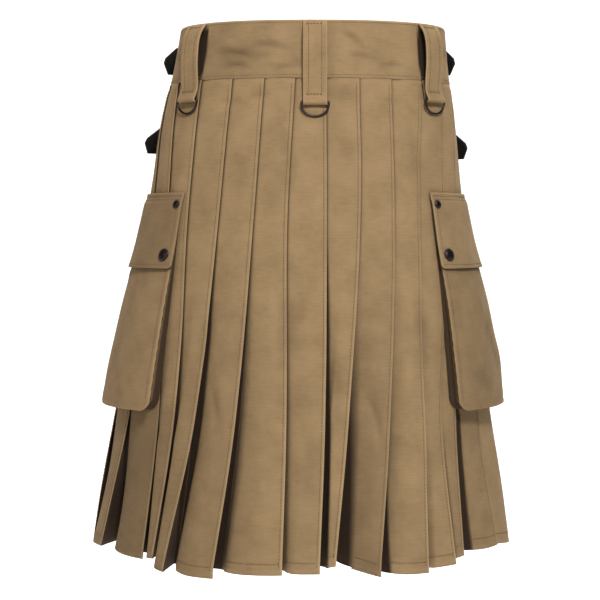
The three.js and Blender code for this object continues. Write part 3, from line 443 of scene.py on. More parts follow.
def twill_material(name, light, dark, worn):
    """Cotton twill: slanting ribs from the weave map, uneven dye, paler worn edges and painted shade from a
    tone of the mesh.
    """
    material, tree, shader = new_material(name)
    link = tree.links.new
    weave_map = tree.nodes.new("ShaderNodeUVMap")
    weave_map.uv_map = "weave"
    weave = weave_map.outputs["UV"]
    spot = tree.nodes.new("ShaderNodeTexCoord").outputs["Object"]
    slanted = mapped(tree, weave, "Rotation", (0, 0, math.radians(62)))
    rib = texture(tree, "ShaderNodeTexWave", slanted, Scale=240.0, Distortion=1.2, Detail=1.0)
    rib.wave_type = "BANDS"
    cloud = texture(tree, NOISE, spot, Scale=34.0, Detail=5.0, Roughness=0.62).outputs["Fac"]
    fleck = texture(tree, NOISE, spot, Scale=420.0, Detail=3.0, Roughness=0.7).outputs["Fac"]
    drawn = mapped(tree, weave, "Scale", (60, 760, 1))
    thread = texture(tree, NOISE, drawn, Scale=1.0, Detail=3.0, Roughness=0.6).outputs["Fac"]
    share = fitted(tree, added(tree, thread, 0.6, cloud), From_Min=0.52, From_Max=1.08)
    dyed = blended(tree, share, dark, light)
    faded = blended(tree, marked(tree, "wear"), dyed, worn)
    # Near-black colour that the painted shade tone blends the cloth towards.
    hollow = (dark[0] * 0.1, dark[1] * 0.08, dark[2] * 0.08)
    link(blended(tree, marked(tree, "painted_shade"), faded, hollow), shader.inputs["Base Color"])
    link(fitted(tree, fleck, To_Min=0.86, To_Max=0.98), shader.inputs["Roughness"])
    shader.inputs["Sheen Weight"].default_value = 0.06
    shader.inputs["Sheen Tint"].default_value = (0.9, 0.62, 0.36, 1)
    shader.inputs["Sheen Roughness"].default_value = 0.5
    shader.inputs["Specular IOR Level"].default_value = 0.25
    fine = bumped(tree, added(tree, rib.outputs["Fac"], 0.5, fleck), 0.3, 0.0004)
    crumple = bumped(tree, cloud, 0.5, 0.0016)
    link(fine.outputs["Normal"], crumple.inputs["Normal"])
    link(crumple.outputs["Normal"], shader.inputs["Normal"])
    return material


def leather_material():
    """Black leather with fine pebbled grain and slightly rubbed high spots."""
    material, tree, shader = new_material("black_leather")
    link = tree.links.new
    spot = tree.nodes.new("ShaderNodeTexCoord").outputs["Object"]
    grain = texture(tree, "ShaderNodeTexVoronoi", spot, Scale=900.0)
    smear = texture(tree, NOISE, spot, Scale=60.0, Detail=4.0).outputs["Fac"]
    tone = blended(tree, smear, (0.003, 0.0028, 0.0026), (0.010, 0.009, 0.0085))
    link(tone, shader.inputs["Base Color"])
    link(fitted(tree, smear, To_Min=0.5, To_Max=0.7), shader.inputs["Roughness"])
    shader.inputs["Specular IOR Level"].default_value = 0.16
    bump = bumped(tree, grain.outputs["Distance"], 0.35, 0.0003)
    link(bump.outputs["Normal"], shader.inputs["Normal"])
    return material


def metal_material(name, colour, low, high):
    """Plated metal with fine scuffs that roughen it unevenly."""
    material, tree, shader = new_material(name)
    link = tree.links.new
    spot = tree.nodes.new("ShaderNodeTexCoord").outputs["Object"]
    scuff = texture(tree, NOISE, spot, Scale=260.0, Detail=5.0, Roughness=0.65).outputs["Fac"]
    dull = tuple(c * 0.75 for c in colour)
    link(blended(tree, scuff, dull, colour), shader.inputs["Base Color"])
    link(fitted(tree, scuff, To_Min=low, To_Max=high), shader.inputs["Roughness"])
    shader.inputs["Metallic"].default_value = 1.0
    return material


KHAKI = dict(light=(0.305, 0.205, 0.104), dark=(0.215, 0.140, 0.068), worn=(0.41, 0.29, 0.16))
TAN = dict(light=(0.19, 0.122, 0.062), dark=(0.14, 0.088, 0.044), worn=(0.3, 0.2, 0.1))
BLACK = dict(light=(0.03, 0.028, 0.026), dark=(0.02, 0.018, 0.017), worn=(0.04, 0.04, 0.04))
TWILL_LOOK = twill_material("khaki_twill", **KHAKI)
THREAD = twill_material("khaki_thread", **TAN)
BLACK_THREAD = twill_material("black_thread", **BLACK)
LEATHER = leather_material()
GUNMETAL = metal_material("gunmetal_plate", (0.05, 0.037, 0.036), 0.3, 0.5)
STEEL = metal_material("nickel_plate", (0.72, 0.73, 0.74), 0.12, 0.3)


# Stitching

STITCH_LENGTH = 3.0
STITCH_PITCH = 3.8
STITCH_RADIUS = 0.42


def stitch_shape():
    """Points and faces of one stitch along X, its outside towards Z."""
    around = 6
    points = [(-STITCH_LENGTH / 2, 0, -0.1)]
    for x in (-STITCH_LENGTH * 0.32, STITCH_LENGTH * 0.32):
        for k in range(around):
            turn = 2 * math.pi * k / around
            points.append((x, STITCH_RADIUS * math.cos(turn), STITCH_RADIUS * math.sin(turn)))
    points.append((STITCH_LENGTH / 2, 0, -0.1))
    faces = []
    for k in range(around):
        n = (k + 1) % around
        faces.append((0, 1 + n, 1 + k, 1 + k))
        faces.append((1 + k, 1 + n, 1 + around + n, 1 + around + k))
        faces.append((1 + around + k, 1 + around + n, 1 + 2 * around, 1 + 2 * around))
    return np.array(points), [tuple(dict.fromkeys(face)) for face in faces]


STITCH_POINTS, STITCH_FACES = stitch_shape()


def at_lengths(values, length, spots):
    """Rows of points or normals, read off at places along a line."""
    return np.stack([np.interp(spots, length, values[:, k]) for k in range(3)], axis=1)


def stitches(name, lines, thread=None):
    """One mesh of stitches along lines, each a pair of points and outward normals."""
    all_points = []
    all_faces = []
    count = 0
    for line, normals in lines:
        length = np.concatenate([[0], np.cumsum(np.linalg.norm(np.diff(line, axis=0), axis=1))])
        spots = np.arange(STITCH_PITCH / 2, length[-1] - STITCH_PITCH / 2 + 0.01, STITCH_PITCH)
        if len(spots) == 0:
            continue
        at = at_lengths(line, length, spots)
        along = at_lengths(line, length, spots + 0.5) - at_lengths(line, length, spots - 0.5)
        along /= np.linalg.norm(along, axis=1, keepdims=True)
        up = at_lengths(normals, length, spots)
        across = np.cross(up, along)
        across /= np.linalg.norm(across, axis=1, keepdims=True)
        up = np.cross(along, across)
        local = STITCH_POINTS
        made = (at[:, None] + local[None, :, :1] * along[:, None] + local[None, :, 1:2] * across[:, None]
                + local[None, :, 2:] * up[:, None])
        all_points.append(made.reshape(-1, 3))
        for _ in range(len(spots)):
            all_faces.extend([tuple(i + count for i in face) for face in STITCH_FACES])
            count += len(STITCH_POINTS)
    points = np.concatenate(all_points)
    uv = points[:, [0, 2]]
    obj = make_mesh(name, points, all_faces, uv)
    obj.data.materials.append(thread or THREAD)
    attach(obj, "kilt")
    return obj


def surface_line(arc, drop, out):
    """Line of points laid on the form, with the form's outward normals."""
    line = place(arc, drop, out)
    normal = place(arc, drop, np.asarray(out) + 1.0) - line
    return line, normal


# Pleated skirt

ROWS = 91
SHARES = np.linspace(0, 1, ROWS)


def grown(row, column, drop, opened):
    """What a fold's dark (painted shadow width) or shade (painted shade) column says, from where the fold
    opens to the hem.
    """
    start, end, power = row.get(column, (0, 0, 1))
    return mix(start, end, opened**power) * np.clip((drop - row["opens"]) / 20 + 1, 0, 1)


def fold_at(name, share):
    """State of one fold at shares of the way from the band to the hem."""
    row = FOLDS[name]
    drop = mix(SKIRT_TOP, row["drop"], share)
    opened = np.clip((drop - row["opens"]) / (row["drop"] - row["opens"]), 0, 1) ** OPENING_POWER
    return dict(
        drop=drop,
        arc=smooth_at(FOLD_LEVELS, row["arcs"], drop),
        opened=opened,
        lift=row["lift"] * opened,
        gap=mix(2.2, row["gap"], opened),
        recess=row["recess"] * opened,
        dark=grown(row, "dark", drop, opened),
        shade=grown(row, "shade", drop, opened),
        dim=row.get("dim", 1),
        slope=opened * row.get("slope", 0),
        inner_drop=drop - INNER_HEM_RISE * opened * share,
    )


def underlay(name, share):
    fold = fold_at(name, share)
    reach = mix(FLAT_UNDERLAY, HEM_UNDERLAY, fold["opened"])
    position = FOLD_NAMES.index(name)
    if position == 0:
        return reach
    before = fold_at(FOLD_NAMES[position - 1], share)
    return np.clip(fold["arc"] - before["arc"] - before["gap"] - 3, 4, reach)


def triple(arc, out, drop):
    return np.stack(np.broadcast_arrays(arc, out, drop), axis=-1)


def fold_points(name, share):
    """Round the fold and back under it, as arc, out and drop."""
    fold = fold_at(name, share)
    reach = underlay(name, share)
    stub = FACE - 2 * PITCH - fold["recess"]
    inner = fold["arc"] - reach
    bend = PITCH / 2
    top = FACE + fold["lift"]
    return [
        triple(fold["arc"] - bend, top, fold["drop"]),
        triple(fold["arc"], top - bend * 0.5, fold["drop"]),
        triple(fold["arc"], top - bend * 1.5, fold["drop"]),
        triple(fold["arc"] - bend, top - PITCH, fold["drop"]),
        triple(inner + bend, stub + PITCH, fold["inner_drop"]),
        triple(inner, stub + bend, fold["inner_drop"]),
        triple(inner + bend, stub, fold["inner_drop"]),
    ]


def seam_point(name, share, past):
    fold = fold_at(name, share)
    reach = underlay(name, share)
    arc = fold["arc"] - reach + np.clip(reach * 0.5, 2.5, 8) + past
    return triple(arc, FACE - 2 * PITCH - fold["recess"], fold["inner_drop"])


def face_points(name, share):
    """Face of a pleat from under the fold before it to its own fold."""
    before = fold_at(FOLD_NAMES[FOLD_NAMES.index(name) - 1], share)
    fold = fold_at(name, share)
    reach = underlay(name, share)
    stub = FACE - 2 * PITCH - before["recess"]
    width = fold["arc"] - before["arc"]
    rise = before["arc"] + np.minimum(before["gap"], width * 0.6)
    flat = np.maximum(fold["arc"] - reach - 1, rise + 0.1 * width)
    flat = mix(flat, np.maximum(fold["arc"] - 5, flat), before["slope"])
    rounded = before["opened"] - before["slope"]
    middle = mix(rise, flat, 0.5)
    full = FACE + fold["lift"]
    middle_drop = mix(before["inner_drop"], fold["drop"], 0.5)
    return [
        triple(before["arc"] + 1, stub + 0.12 * before["recess"], before["inner_drop"]),
        triple(rise, mix(stub, full, mix(0.2, 0.55, rounded)),
               mix(before["inner_drop"], fold["drop"], 0.35)),
        triple(middle, mix(stub, full, mix(0.62, 0.88, rounded)), middle_drop),
        triple(flat, full + 0.05 * fold["lift"], mix(middle_drop, fold["drop"], 0.6)),
    ]


def pucker(arc, drop):
    """Small uneven waves: across under the band's seam, and long ones down the skirt."""
    under = np.exp(-np.clip(drop - SKIRT_TOP, 0, None) / 16)
    short = np.sin(drop / 3.1 + 1.3 * np.sin(arc / 17.0)) * np.sin(arc / 9.0 + 0.6 * np.sin(arc / 23.0))
    long = np.sin(arc / 12.5 + drop / 140 + np.sin(drop / 61.0)) * np.sin(drop / 74.0 + arc / 90)
    return 0.55 * short * under + 0.6 * long * (1 - under)


def dress(path, table=CREASES):
    """Path in arc, out and drop to fine points, with the creases added."""
    path = fill_steps(chaikin(path, 2), 3.2)
    arc, out, drop = path[..., 0], path[..., 1], path[..., 2]
    length = ring_length(drop)
    near = np.where(arc > length / 2, arc - length, arc)
    far = np.where(arc < -length / 2, arc + length, arc)
    height = crease_height(near, drop, table)
    height = height + np.where(np.abs(far - near) > 1, crease_height(far, drop, table), 0)
    height = height + pucker(near, drop)
    return place(arc, drop, out + height), path, height


def hem_thickness(rows_drop, hem_drop):
    past = ramp(rows_drop - (hem_drop - HEM_TURN), 1.5)
    return TWILL + 0.4 * past


def face_columns(path, name):
    """First and last column of the face that runs up to the edge of a fold."""
    fold = fold_at(name, 1.0)
    arc, out = path[-1, :, 0], path[-1, :, 1]
    away = np.hypot(arc - fold["arc"] + PITCH / 2, out - FACE - fold["lift"])
    last = int(np.argmin(away))
    position = FOLD_NAMES.index(name)
    limit = -1e9 if position == 0 else fold_at(FOLD_NAMES[position - 1], 1.0)["arc"] + 1.5
    first = last
    while first > 0 and limit < arc[first - 1] < arc[first]:
        first -= 1
    return first, last


def cloth_tones(path, height, folds):
    """Paler worn pressed edges and hem; painted shade in the hollows, on hidden plies, on whole
    faces and in crease troughs; and a painted shadow line where one fold lies on the next.
    """
    arc, out, drop = path[..., 0], path[..., 1], path[..., 2]
    worn = np.zeros(arc.shape)
    # Painted shade: full on the plies that lie hidden, none where there are no folds.
    painted_shade = np.ones(arc.shape) if folds else np.zeros(arc.shape)
    for name in folds:
        fold = fold_at(name, SHARES)
        first, last = face_columns(path, name)
        first = max(first - 1, 0)
        shown = slice(first, last + 3)
        away = arc[:, shown] - fold["arc"][:, None]
        worn[:, shown] = bell(away, 1.3) * mix(0.12, 0.8, np.sqrt(fold["opened"]))[:, None]
        # Painted shade grows with the depth of the hollow.
        painted_shade[:, shown] = ramp(FACE - 4 - out[:, shown], 9)
        position = FOLD_NAMES.index(name)
        if position > 0:
            before = fold_at(FOLD_NAMES[position - 1], SHARES)
            painted_shade[:, shown] *= before["dim"]
            past = arc[:, shown] - before["arc"][:, None]
            # Painted shadow line and strip beside the fold before, and painted shade over the whole face.
            painted_shadow_line = 0.7 * np.exp(-np.clip(past - 0.9, 0, None) / 1.0)
            painted_shadow_strip = ramp(before["dark"][:, None] - past, 2.5)
            painted_shadow_strip = np.maximum(painted_shadow_strip, before["shade"][:, None])
            painted_shade[:, shown] = np.maximum(painted_shade[:, shown], np.maximum(painted_shadow_line, painted_shadow_strip))
    hem = drop[-1][None, :] - drop
    worn = np.maximum(worn, 0.5 * bell(hem, 1.5))
    # Crease troughs carry painted shade too.
    return worn, np.maximum(painted_shade, np.clip(-CREASE_PAINTED_SHADE * height, 0, 0.35))


STITCH_LIFT = 0.12
HEM_STITCH_LIFT = 0.2
EDGE_STITCH = 3.2


def raised(grid, normal, where, height):
    """Line of stitching: part of a grid lifted off the cloth, with its normals."""
    return grid[where] + normal[where] * height, normal[where]


def pleat_lines(path, grid, normal, painted_shade, folds):
    """Rows of stitching beside each fold and along the hem of each face."""
    lines = []
    height = TWILL / 2 + STITCH_LIFT
    for name in folds:
        first, last = face_columns(path, name)
        fold = fold_at(name, SHARES)
        target = fold["arc"] - EDGE_STITCH
        span = slice(first, last + 1)
        line = []
        up = []
        for row in range(1, ROWS - 1):
            arcs = path[row, span, 0]
            line.append([np.interp(target[row], arcs, grid[row, span, k]) for k in range(3)])
            up.append([np.interp(target[row], arcs, normal[row, span, k]) for k in range(3)])
        up = np.array(up)
        lines.append((np.array(line) + up * height, up))
        row_step = (FOLDS[name]["drop"] - SKIRT_TOP) / (ROWS - 1)
        above = ROWS - 1 - HEM_TURN / row_step
        low = int(above)
        # The hem row starts where the painted shade is light.
        lit = np.flatnonzero(painted_shade[low, first:last] < 0.3)
        span = slice(first + lit[0], last) if len(lit) > 1 else slice(last - 2, last)
        points = mix(grid[low, span], grid[low + 1, span], above - low)
        up = normal[low, span]
        lines.append((points + up * (height + HEM_STITCH_LIFT), up))
    return lines


def declare(node_name):
    """Hides the solid that a cloth piece stands for."""
    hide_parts(node_name)


STITCHED = []


def skirt():
    for name, (first, last) in SKIRT_PIECES.items():
        start = FOLD_NAMES.index(first)
        stop = FOLD_NAMES.index(last)
        folds = FOLD_NAMES[start:stop + 1]
        points = [seam_point(FOLD_NAMES[start - 1], SHARES, HIDDEN_SEAM_GAP)]
        for fold in folds:
            points += face_points(fold, SHARES) + fold_points(fold, SHARES)
        points.append(seam_point(last, SHARES, 0))
        skirt_wall(name, points, folds)


def skirt_wall(name, points, folds):
    grid, path, height = dress(np.stack(points, axis=1))
    worn, painted_shade = cloth_tones(path, height, folds)
    thick = hem_thickness(path[..., 2], path[-1, :, 2][None, :])
    obj, normal = wall(f"{name}_cloth", grid, thick, worn, painted_shade)
    declare(name)
    STITCHED.extend(pleat_lines(path, grid, normal, painted_shade, folds))


def over_apron_points():
    fold = fold_at("apron", SHARES)
    free_drop = mix(SKIRT_TOP, OVER_EDGE["drop"], SHARES)
    free_arc = smooth_at(FOLD_LEVELS, OVER_EDGE["arcs"], free_drop) - ring_length(free_drop)
    points = []
    for along in np.linspace(0, 1, 41):
        arc = mix(free_arc, fold["arc"] - HEM_UNDERLAY, along)
        points.append(triple(arc, FACE + fold["lift"], mix(free_drop, fold["drop"], along)))
    return points + fold_points("apron", SHARES) + [seam_point("apron", SHARES, 0)]


def under_apron_points():
    fold = fold_at("sideR2", SHARES)
    stub = FACE - 2 * PITCH
    far = fold_at("apron", SHARES)
    end_arc = far["arc"] + ring_length(far["drop"]) - HEM_UNDERLAY - UNDER_TURN_BACK
    points = [seam_point("sideR2", SHARES, HIDDEN_SEAM_GAP)]
    points.append(triple(fold["arc"] + 1, stub - 0.8 * fold["recess"], fold["inner_drop"]))
    for along in np.linspace(0, 1, 41):
        arc = mix(fold["arc"] + 8, end_arc, along)
        points.append(triple(arc, stub - 0.3 * fold["recess"], fold["inner_drop"]))
    return points


skirt()
skirt_wall("over_apron", over_apron_points(), ["apron"])
skirt_wall("under_apron", under_apron_points(), [])
stitches("pleat_stitching", STITCHED)


# Waistband

LOOPS = {
    "loop_back_left": dict(arc=-140, bow=11, lay=0, bar=88, ring="left_ring"),
    "loop_back_centre": dict(arc=3, bow=8, lay=0, bar=94, ring="centre_ring"),
    "loop_back_right": dict(arc=141, bow=11, lay=0, bar=88, ring="right_ring"),
    "loop_front_left": dict(arc=-381, bow=10, lay=0.9, bar=94, ring=None),
    "loop_front_right": dict(arc=381, bow=10, lay=3, bar=94, ring=None),
}
LOOP_WIDTH = 27
BAND_ROWS = 27
BAND_LENGTH = float(ring_length(BAND_HEIGHT))
SEAM_PAST_FOLD = 6
LEFT_SEAM = FOLDS["apron"]["arcs"][0] - SEAM_PAST_FOLD
UNDER_SEAM = FOLDS["sideR2"]["arcs"][0] + SEAM_PAST_FOLD
OVER_FREE = OVER_EDGE["arcs"][0] - 2 - BAND_LENGTH
UNDER_FREE = LEFT_SEAM + BAND_LENGTH - UNDER_TURN_BACK
BAND_OUT = -BAND_THICK / 2
BAND_DRIFT = 3.3


def band_arc(drop, start, end, along):
    return mix(start, end, along) * ring_length(drop) / BAND_LENGTH


def band_height(drop, start, end, along):
    """Listed creases of the band, and the dips that its two rows of stitching pull."""
    arc = mix(start, end, along)
    arc = np.where(arc < -BAND_LENGTH / 2, arc + BAND_LENGTH, arc)
    height = crease_height(arc, drop, BAND_CREASES)
    pull = 0.35 + 0.15 * np.sin(arc / 6.1) + 0.1 * np.sin(arc / 2.7)
    height = height - pull * bell(drop - BAND_HEIGHT + 3.5, 1.6)
    return height - 0.7 * pull * bell(drop - 3, 1.5)


def band_piece(name, start, end, out_at):
    rows = (BAND_HEIGHT + 0.1) * np.linspace(0, 1, BAND_ROWS)[:, None]
    along = np.linspace(0, 1, int(abs(end - start) / 2))[None, :]
    arc = band_arc(rows, start, end, along)
    drop = np.broadcast_to(rows, arc.shape)
    edge = np.minimum(drop, BAND_HEIGHT - drop)
    thick = BAND_THICK - 1.3 * bell(edge, 1.1)
    height = band_height(drop, start, end, along)
    grid = place(arc, drop, out_at(along) + height)
    worn = 0.5 * bell(edge, 1.2)
    # Painted shade in crease troughs and broadly over the band's left part.
    painted_shade = np.clip(-CREASE_PAINTED_SHADE * height, 0, 0.4) + 0.14 * bell(arc + 95, 45)
    # Painted shadow on the band where it lies beneath each loop.
    for loop in LOOPS.values():
        for lap in (-BAND_LENGTH, 0, BAND_LENGTH):
            reach = LOOP_WIDTH / 2 - 4.5 + 2.5 * np.sin(drop / BAND_HEIGHT * math.pi)
            inside = reach - np.abs(mix(start, end, along) - loop["arc"] - lap)
            painted_shade = np.maximum(painted_shade, ramp(inside, 1.5) * ramp(drop - 3, 6))
    obj, _ = wall(f"{name}_cloth", grid, thick, worn, painted_shade)
    declare(name)


def band_lines(start, end, out_at):
    lines = []
    for drop in (3.0, BAND_HEIGHT - 3.5):
        along = np.linspace(0.002, 0.998, int(abs(end - start) / 4))
        height = out_at(along) + band_height(drop, start, end, along) + BAND_THICK / 2 + STITCH_LIFT
        lines.append(surface_line(band_arc(drop, start, end, along), drop, height))
    return lines


BAND_PIECES = {
    "waistband_back": (LEFT_SEAM, UNDER_SEAM, lambda along: BAND_OUT + 0 * along),
    "waistband_over": (OVER_FREE, LEFT_SEAM - SEAM_GAP, lambda along: BAND_OUT + BAND_DRIFT * (1 - along)),
    "waistband_under": (UNDER_SEAM + UNDER_BAND_GAP, UNDER_FREE, lambda along: BAND_OUT - BAND_DRIFT * along),
}
for band_name, (band_start, band_end, band_out) in BAND_PIECES.items():
    band_piece(band_name, band_start, band_end, band_out)
BAND_STITCHES = [line for spec in BAND_PIECES.values() for line in band_lines(*spec)]
stitches("waistband_stitching", BAND_STITCHES)


# Belt loops and D-rings

LOOP_LEVEL = 33
LOOP_REST = DOUBLE_TWILL / 2 + SEAM_GAP
LOOP_STITCH = 7
TAIL_LAY = 1
RING_WIRE = 1.3
BAR_CLEARANCE = 0.5
BAR_TURN = RING_WIRE + BAR_CLEARANCE + DOUBLE_TWILL / 2
BAR_OUT = LOOP_REST + BAR_TURN + TAIL_LAY
RING_HALF = 14 + RING_WIRE
RING_HEIGHT = 16.4
RING_SHOULDER = 3
RING_REST = 0.6


def loop_side(loop):
    """Side view of a loop as drop, out and the level whose form it keeps to."""
    rest = LOOP_REST + loop["lay"]
    bow, bar = loop["bow"], loop["bar"]
    side = [(1.5, rest), (bar * 0.095, rest + bow * 0.55), (bar * 0.21, rest + bow * 0.92),
            (bar * 0.37, rest + bow), (bar * 0.55, rest + bow * 0.9), (bar * 0.7, rest + bow * 0.62)]
    foot = LOOP_REST + TAIL_LAY
    if loop["ring"] is None:
        side += [(bar - 18, foot + bow * 0.25), (bar - 11, foot), (bar - 4, foot)]
        return [(drop, out, drop) for drop, out in side]
    back = BAR_OUT - BAR_TURN
    front = back + DOUBLE_TWILL + SEAM_GAP
    side += [(bar - 17, front + 1), (bar - 9, front)]
    side = [(drop, out, drop) for drop, out in side]
    for angle in range(90, -91, -15):
        turn = math.radians(angle)
        side.append((bar + BAR_TURN * math.cos(turn), BAR_OUT + BAR_TURN * math.sin(turn), bar))
    return side + [(bar - 9, back, bar - 9), (bar - 22, back, bar - 22)]


def loop_frame(arc):
    """Base point, outward normal and sideways direction of a loop, and the form's own offset."""
    base = place(arc, LOOP_LEVEL, 0.0)
    normal = place(arc, LOOP_LEVEL, 1.0) - base
    sideways = np.array([-normal[1], normal[0], 0.0])
    share = arc / ring_length(LOOP_LEVEL)

    def away(level):
        return float((place(share * ring_length(level), level, 0.0) - base)[:2] @ normal[:2])

    return base, normal, sideways, away


def resample(line, longest):
    """Line with its steps no longer than the length given."""
    points = [line[0]]
    for start, end in zip(line[:-1], line[1:]):
        parts = max(1, int(math.ceil(np.linalg.norm(end - start) / longest)))
        points += [mix(start, end, k / parts) for k in range(1, parts + 1)]
    return np.array(points)


def belt_loop(name, loop):
    base, normal, sideways, away = loop_frame(loop["arc"])
    side = loop_side(loop)
    flat = np.array([[out + away(level), drop] for drop, out, level in side])
    smooth = chaikin(flat[None, :9], 2)[0] if loop["ring"] else chaikin(flat[None], 2)[0]
    if loop["ring"]:
        smooth = np.concatenate([smooth, flat[9:]])
    line = resample(smooth, 2.2)
    across = np.linspace(-LOOP_WIDTH / 2, LOOP_WIDTH / 2, 19)
    ridge = 0.28 * bell(np.abs(across) - 10.4, 2.2)
    groove = 0.22 * bell(np.abs(across) - LOOP_STITCH, 0.8)
    bar = loop["bar"]
    out = line[:, :1] + (ridge - groove)[None, :] * np.where(line[:, 1:] < bar - 10, 1.0, 0.0)
    drop = np.broadcast_to(line[:, 1:], out.shape)
    sway = loop["bow"] / 11 * np.sin(drop / (bar - 2) * math.pi) ** 2
    wave = 0.35 * np.sin(drop / 9.0 + loop["arc"]) * bell(drop - bar + 18, 9)
    out = out + wave * (across / 13.5)[None, :] - 0.5 * sway * (across / 13.5)[None, :] ** 2
    grid = (np.array([base[0], base[1], 0.0]) + out[..., None] * normal + across[None, :, None] * sideways
            - drop[..., None] * np.array([0, 0, 1.0]))
    edge = LOOP_WIDTH / 2 - np.abs(across)
    worn = 0.6 * bell(edge, 0.9)[None, :]
    # The inner side, towards the band, carries painted shade.
    obj, up = wall(f"{name}_cloth", grid, DOUBLE_TWILL, worn, 0.0, 0.9)
    declare(name)
    height = DOUBLE_TWILL / 2 + STITCH_LIFT
    stop = int(np.argmax(line[:, 1] > bar - (3 if loop["ring"] else 6)))
    lines = []
    for column in (across.size // 2 - 5, across.size // 2 + 5):
        lines.append(raised(grid, up, np.s_[1:stop, column], height))
    for drop_at in (5.0, 6.2, bar - 9.4, bar - 8.2):
        row = int(np.argmin(np.abs(line[:stop, 1] - drop_at)))
        lines.append(raised(grid, up, np.s_[row, 2:-2], height))
    return lines


def sweep(name, line, radius, sides, closed, material, body):
    """Round wire along a line that lies roughly in one plane."""
    line = np.asarray(line, float)
    if closed:
        tangent = np.roll(line, -1, axis=0) - np.roll(line, 1, axis=0)
    else:
        tangent = np.gradient(line, axis=0)
    tangent /= np.linalg.norm(tangent, axis=1, keepdims=True)
    legs = line[1:] - line[0]
    plane = np.cross(legs[:-1], legs[1:]).sum(axis=0)
    plane /= np.linalg.norm(plane)
    across = np.cross(tangent, plane)
    across /= np.linalg.norm(across, axis=1, keepdims=True)
    turn = np.arange(sides) / sides * 2 * math.pi
    rings = (line[:, None] + radius * (np.cos(turn)[None, :, None] * across[:, None]
             + np.sin(turn)[None, :, None] * plane))
    return tube(name, rings, closed, material, body)


def tube(name, rings, closed, material, body):
    """Closed skin through rings of points, capped unless it runs round."""
    rows, count = rings.shape[:2]
    faces = []
    for r in range(rows if closed else rows - 1):
        n = (r + 1) % rows
        for k in range(count):
            m = (k + 1) % count
            faces.append((r * count + k, r * count + m, n * count + m, n * count + k))
    if not closed:
        faces.append(tuple(range(count - 1, -1, -1)))
        faces.append(tuple((rows - 1) * count + k for k in range(count)))
    obj = make_mesh(name, rings.reshape(-1, 3), faces)
    obj.data.materials.append(material)
    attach(obj, body)
    return obj


def d_ring(name, loop):
    base, normal, sideways, away = loop_frame(loop["arc"])
    bar = loop["bar"]
    bar_out = away(bar) + BAR_OUT
    low_out = away(bar + RING_HEIGHT) + RING_WIRE + RING_REST
    lean = math.asin((low_out - bar_out) / RING_HEIGHT)
    centre = np.array([base[0], base[1], -bar]) + normal * bar_out
    down = np.array([0, 0, -math.cos(lean)]) + normal * math.sin(lean)
    corner = RING_WIRE
    flat = [(x, 0.0) for x in np.linspace(-RING_HALF + corner, RING_HALF - corner, 9)]
    for step in range(1, 7):
        turn = step / 6 * math.pi / 2
        flat.append((RING_HALF - corner + corner * math.sin(turn), corner * (1 - math.cos(turn))))
    depth = RING_HEIGHT - RING_SHOULDER
    for step in range(45):
        turn = step / 44 * math.pi
        flat.append((RING_HALF * math.cos(turn), RING_SHOULDER + depth * math.sin(turn)))
    for step in range(6, 0, -1):
        turn = step / 6 * math.pi / 2
        flat.append((-RING_HALF + corner - corner * math.sin(turn), corner * (1 - math.cos(turn))))
    line = [centre + sideways * x + down * y for x, y in flat]
    node_name = name.replace("loop", "d_ring")
    obj = sweep(f"{node_name}_wire", line, RING_WIRE, 20, True, GUNMETAL, loop["ring"])
    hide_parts(node_name)


LOOP_STITCHES = []
for loop_name, loop_spec in LOOPS.items():
    LOOP_STITCHES += belt_loop(loop_name, loop_spec)
    if loop_spec["ring"]:
        d_ring(loop_name, loop_spec)
stitches("loop_stitching", LOOP_STITCHES)


# Cargo pockets

POCKETS = {"left": ((-149, -173), (-315, -350)), "right": ((149, 175), (315, 350))}
POCKET_TOP = 203
POCKET_BOTTOM = 441
POCKET_CORNER = 15
POCKET_WALL = 1.5
POCKET_FRONT_TOP = 206
FLAP_TOP = 195
FLAP_BOTTOM = 281
FLAP_SEAM = 198
FLAP_THICK = 1.8
FLAP_OVERHANG = 3
LAID_GAP = 1.2
SEAT_GAP = 0.05
NESTED_GAP = 0.6
FRONT_DROP = [203, 225, 266, 322, 377, 425, 441]
FRONT_OUT = [2.7, 4.4, 6.8, 12.4, 15.8, 17.6, 17]
FLAP_STITCHES = (198.4, 203.0, 276.4)
SNAPS = {"small": dict(radius=4.9, height=2.4, drop=208.5, inset=7),
         "large": dict(radius=7.5, height=3.4, drop=266, inset=13)}
# Painted shade on each pocket's cloth, front then flap
POCKET_PAINTED_SHADE = {"left": (0.12, 0.28), "right": (0.22, 0.1)}
# Creases of the pockets, in arcs from the centre back, so the two sides differ
POCKET_CREASES = [
    (176, 392, 192, 436, 2.4, 6),
    (186, 398, 236, 430, -2.4, 8),
    (206, 330, 268, 425, -2.6, 11),
    (200, 280, 214, 380, 2.2, 11),
    (298, 290, 326, 440, -2.0, 13),
    (262, 350, 280, 430, 2.0, 11),
    (-334, 396, -280, 432, -2.4, 8),
    (-204, 290, -216, 400, 2.2, 12),
    (-190, 424, -232, 402, 2.2, 7),
    (-304, 300, -310, 400, -2.4, 12),
    (-246, 320, -262, 424, -2.2, 12),
    (-280, 280, -240, 300, 1.8, 8),
]


def front_out(drop):
    return smooth_at(FRONT_DROP, FRONT_OUT, drop)


def pocket_edge(pair, drop):
    return mix(pair[0], pair[1], (np.asarray(drop, float) - POCKET_TOP) / (POCKET_BOTTOM - POCKET_TOP))


def corner_inset(drop):
    past = np.clip(drop - (POCKET_BOTTOM - POCKET_CORNER), 0, POCKET_CORNER)
    return POCKET_CORNER - np.sqrt(POCKET_CORNER ** 2 - past ** 2)


def pocket_sides(side):
    inner, outer = POCKETS[side]
    return (outer, inner) if side == "left" else (inner, outer)


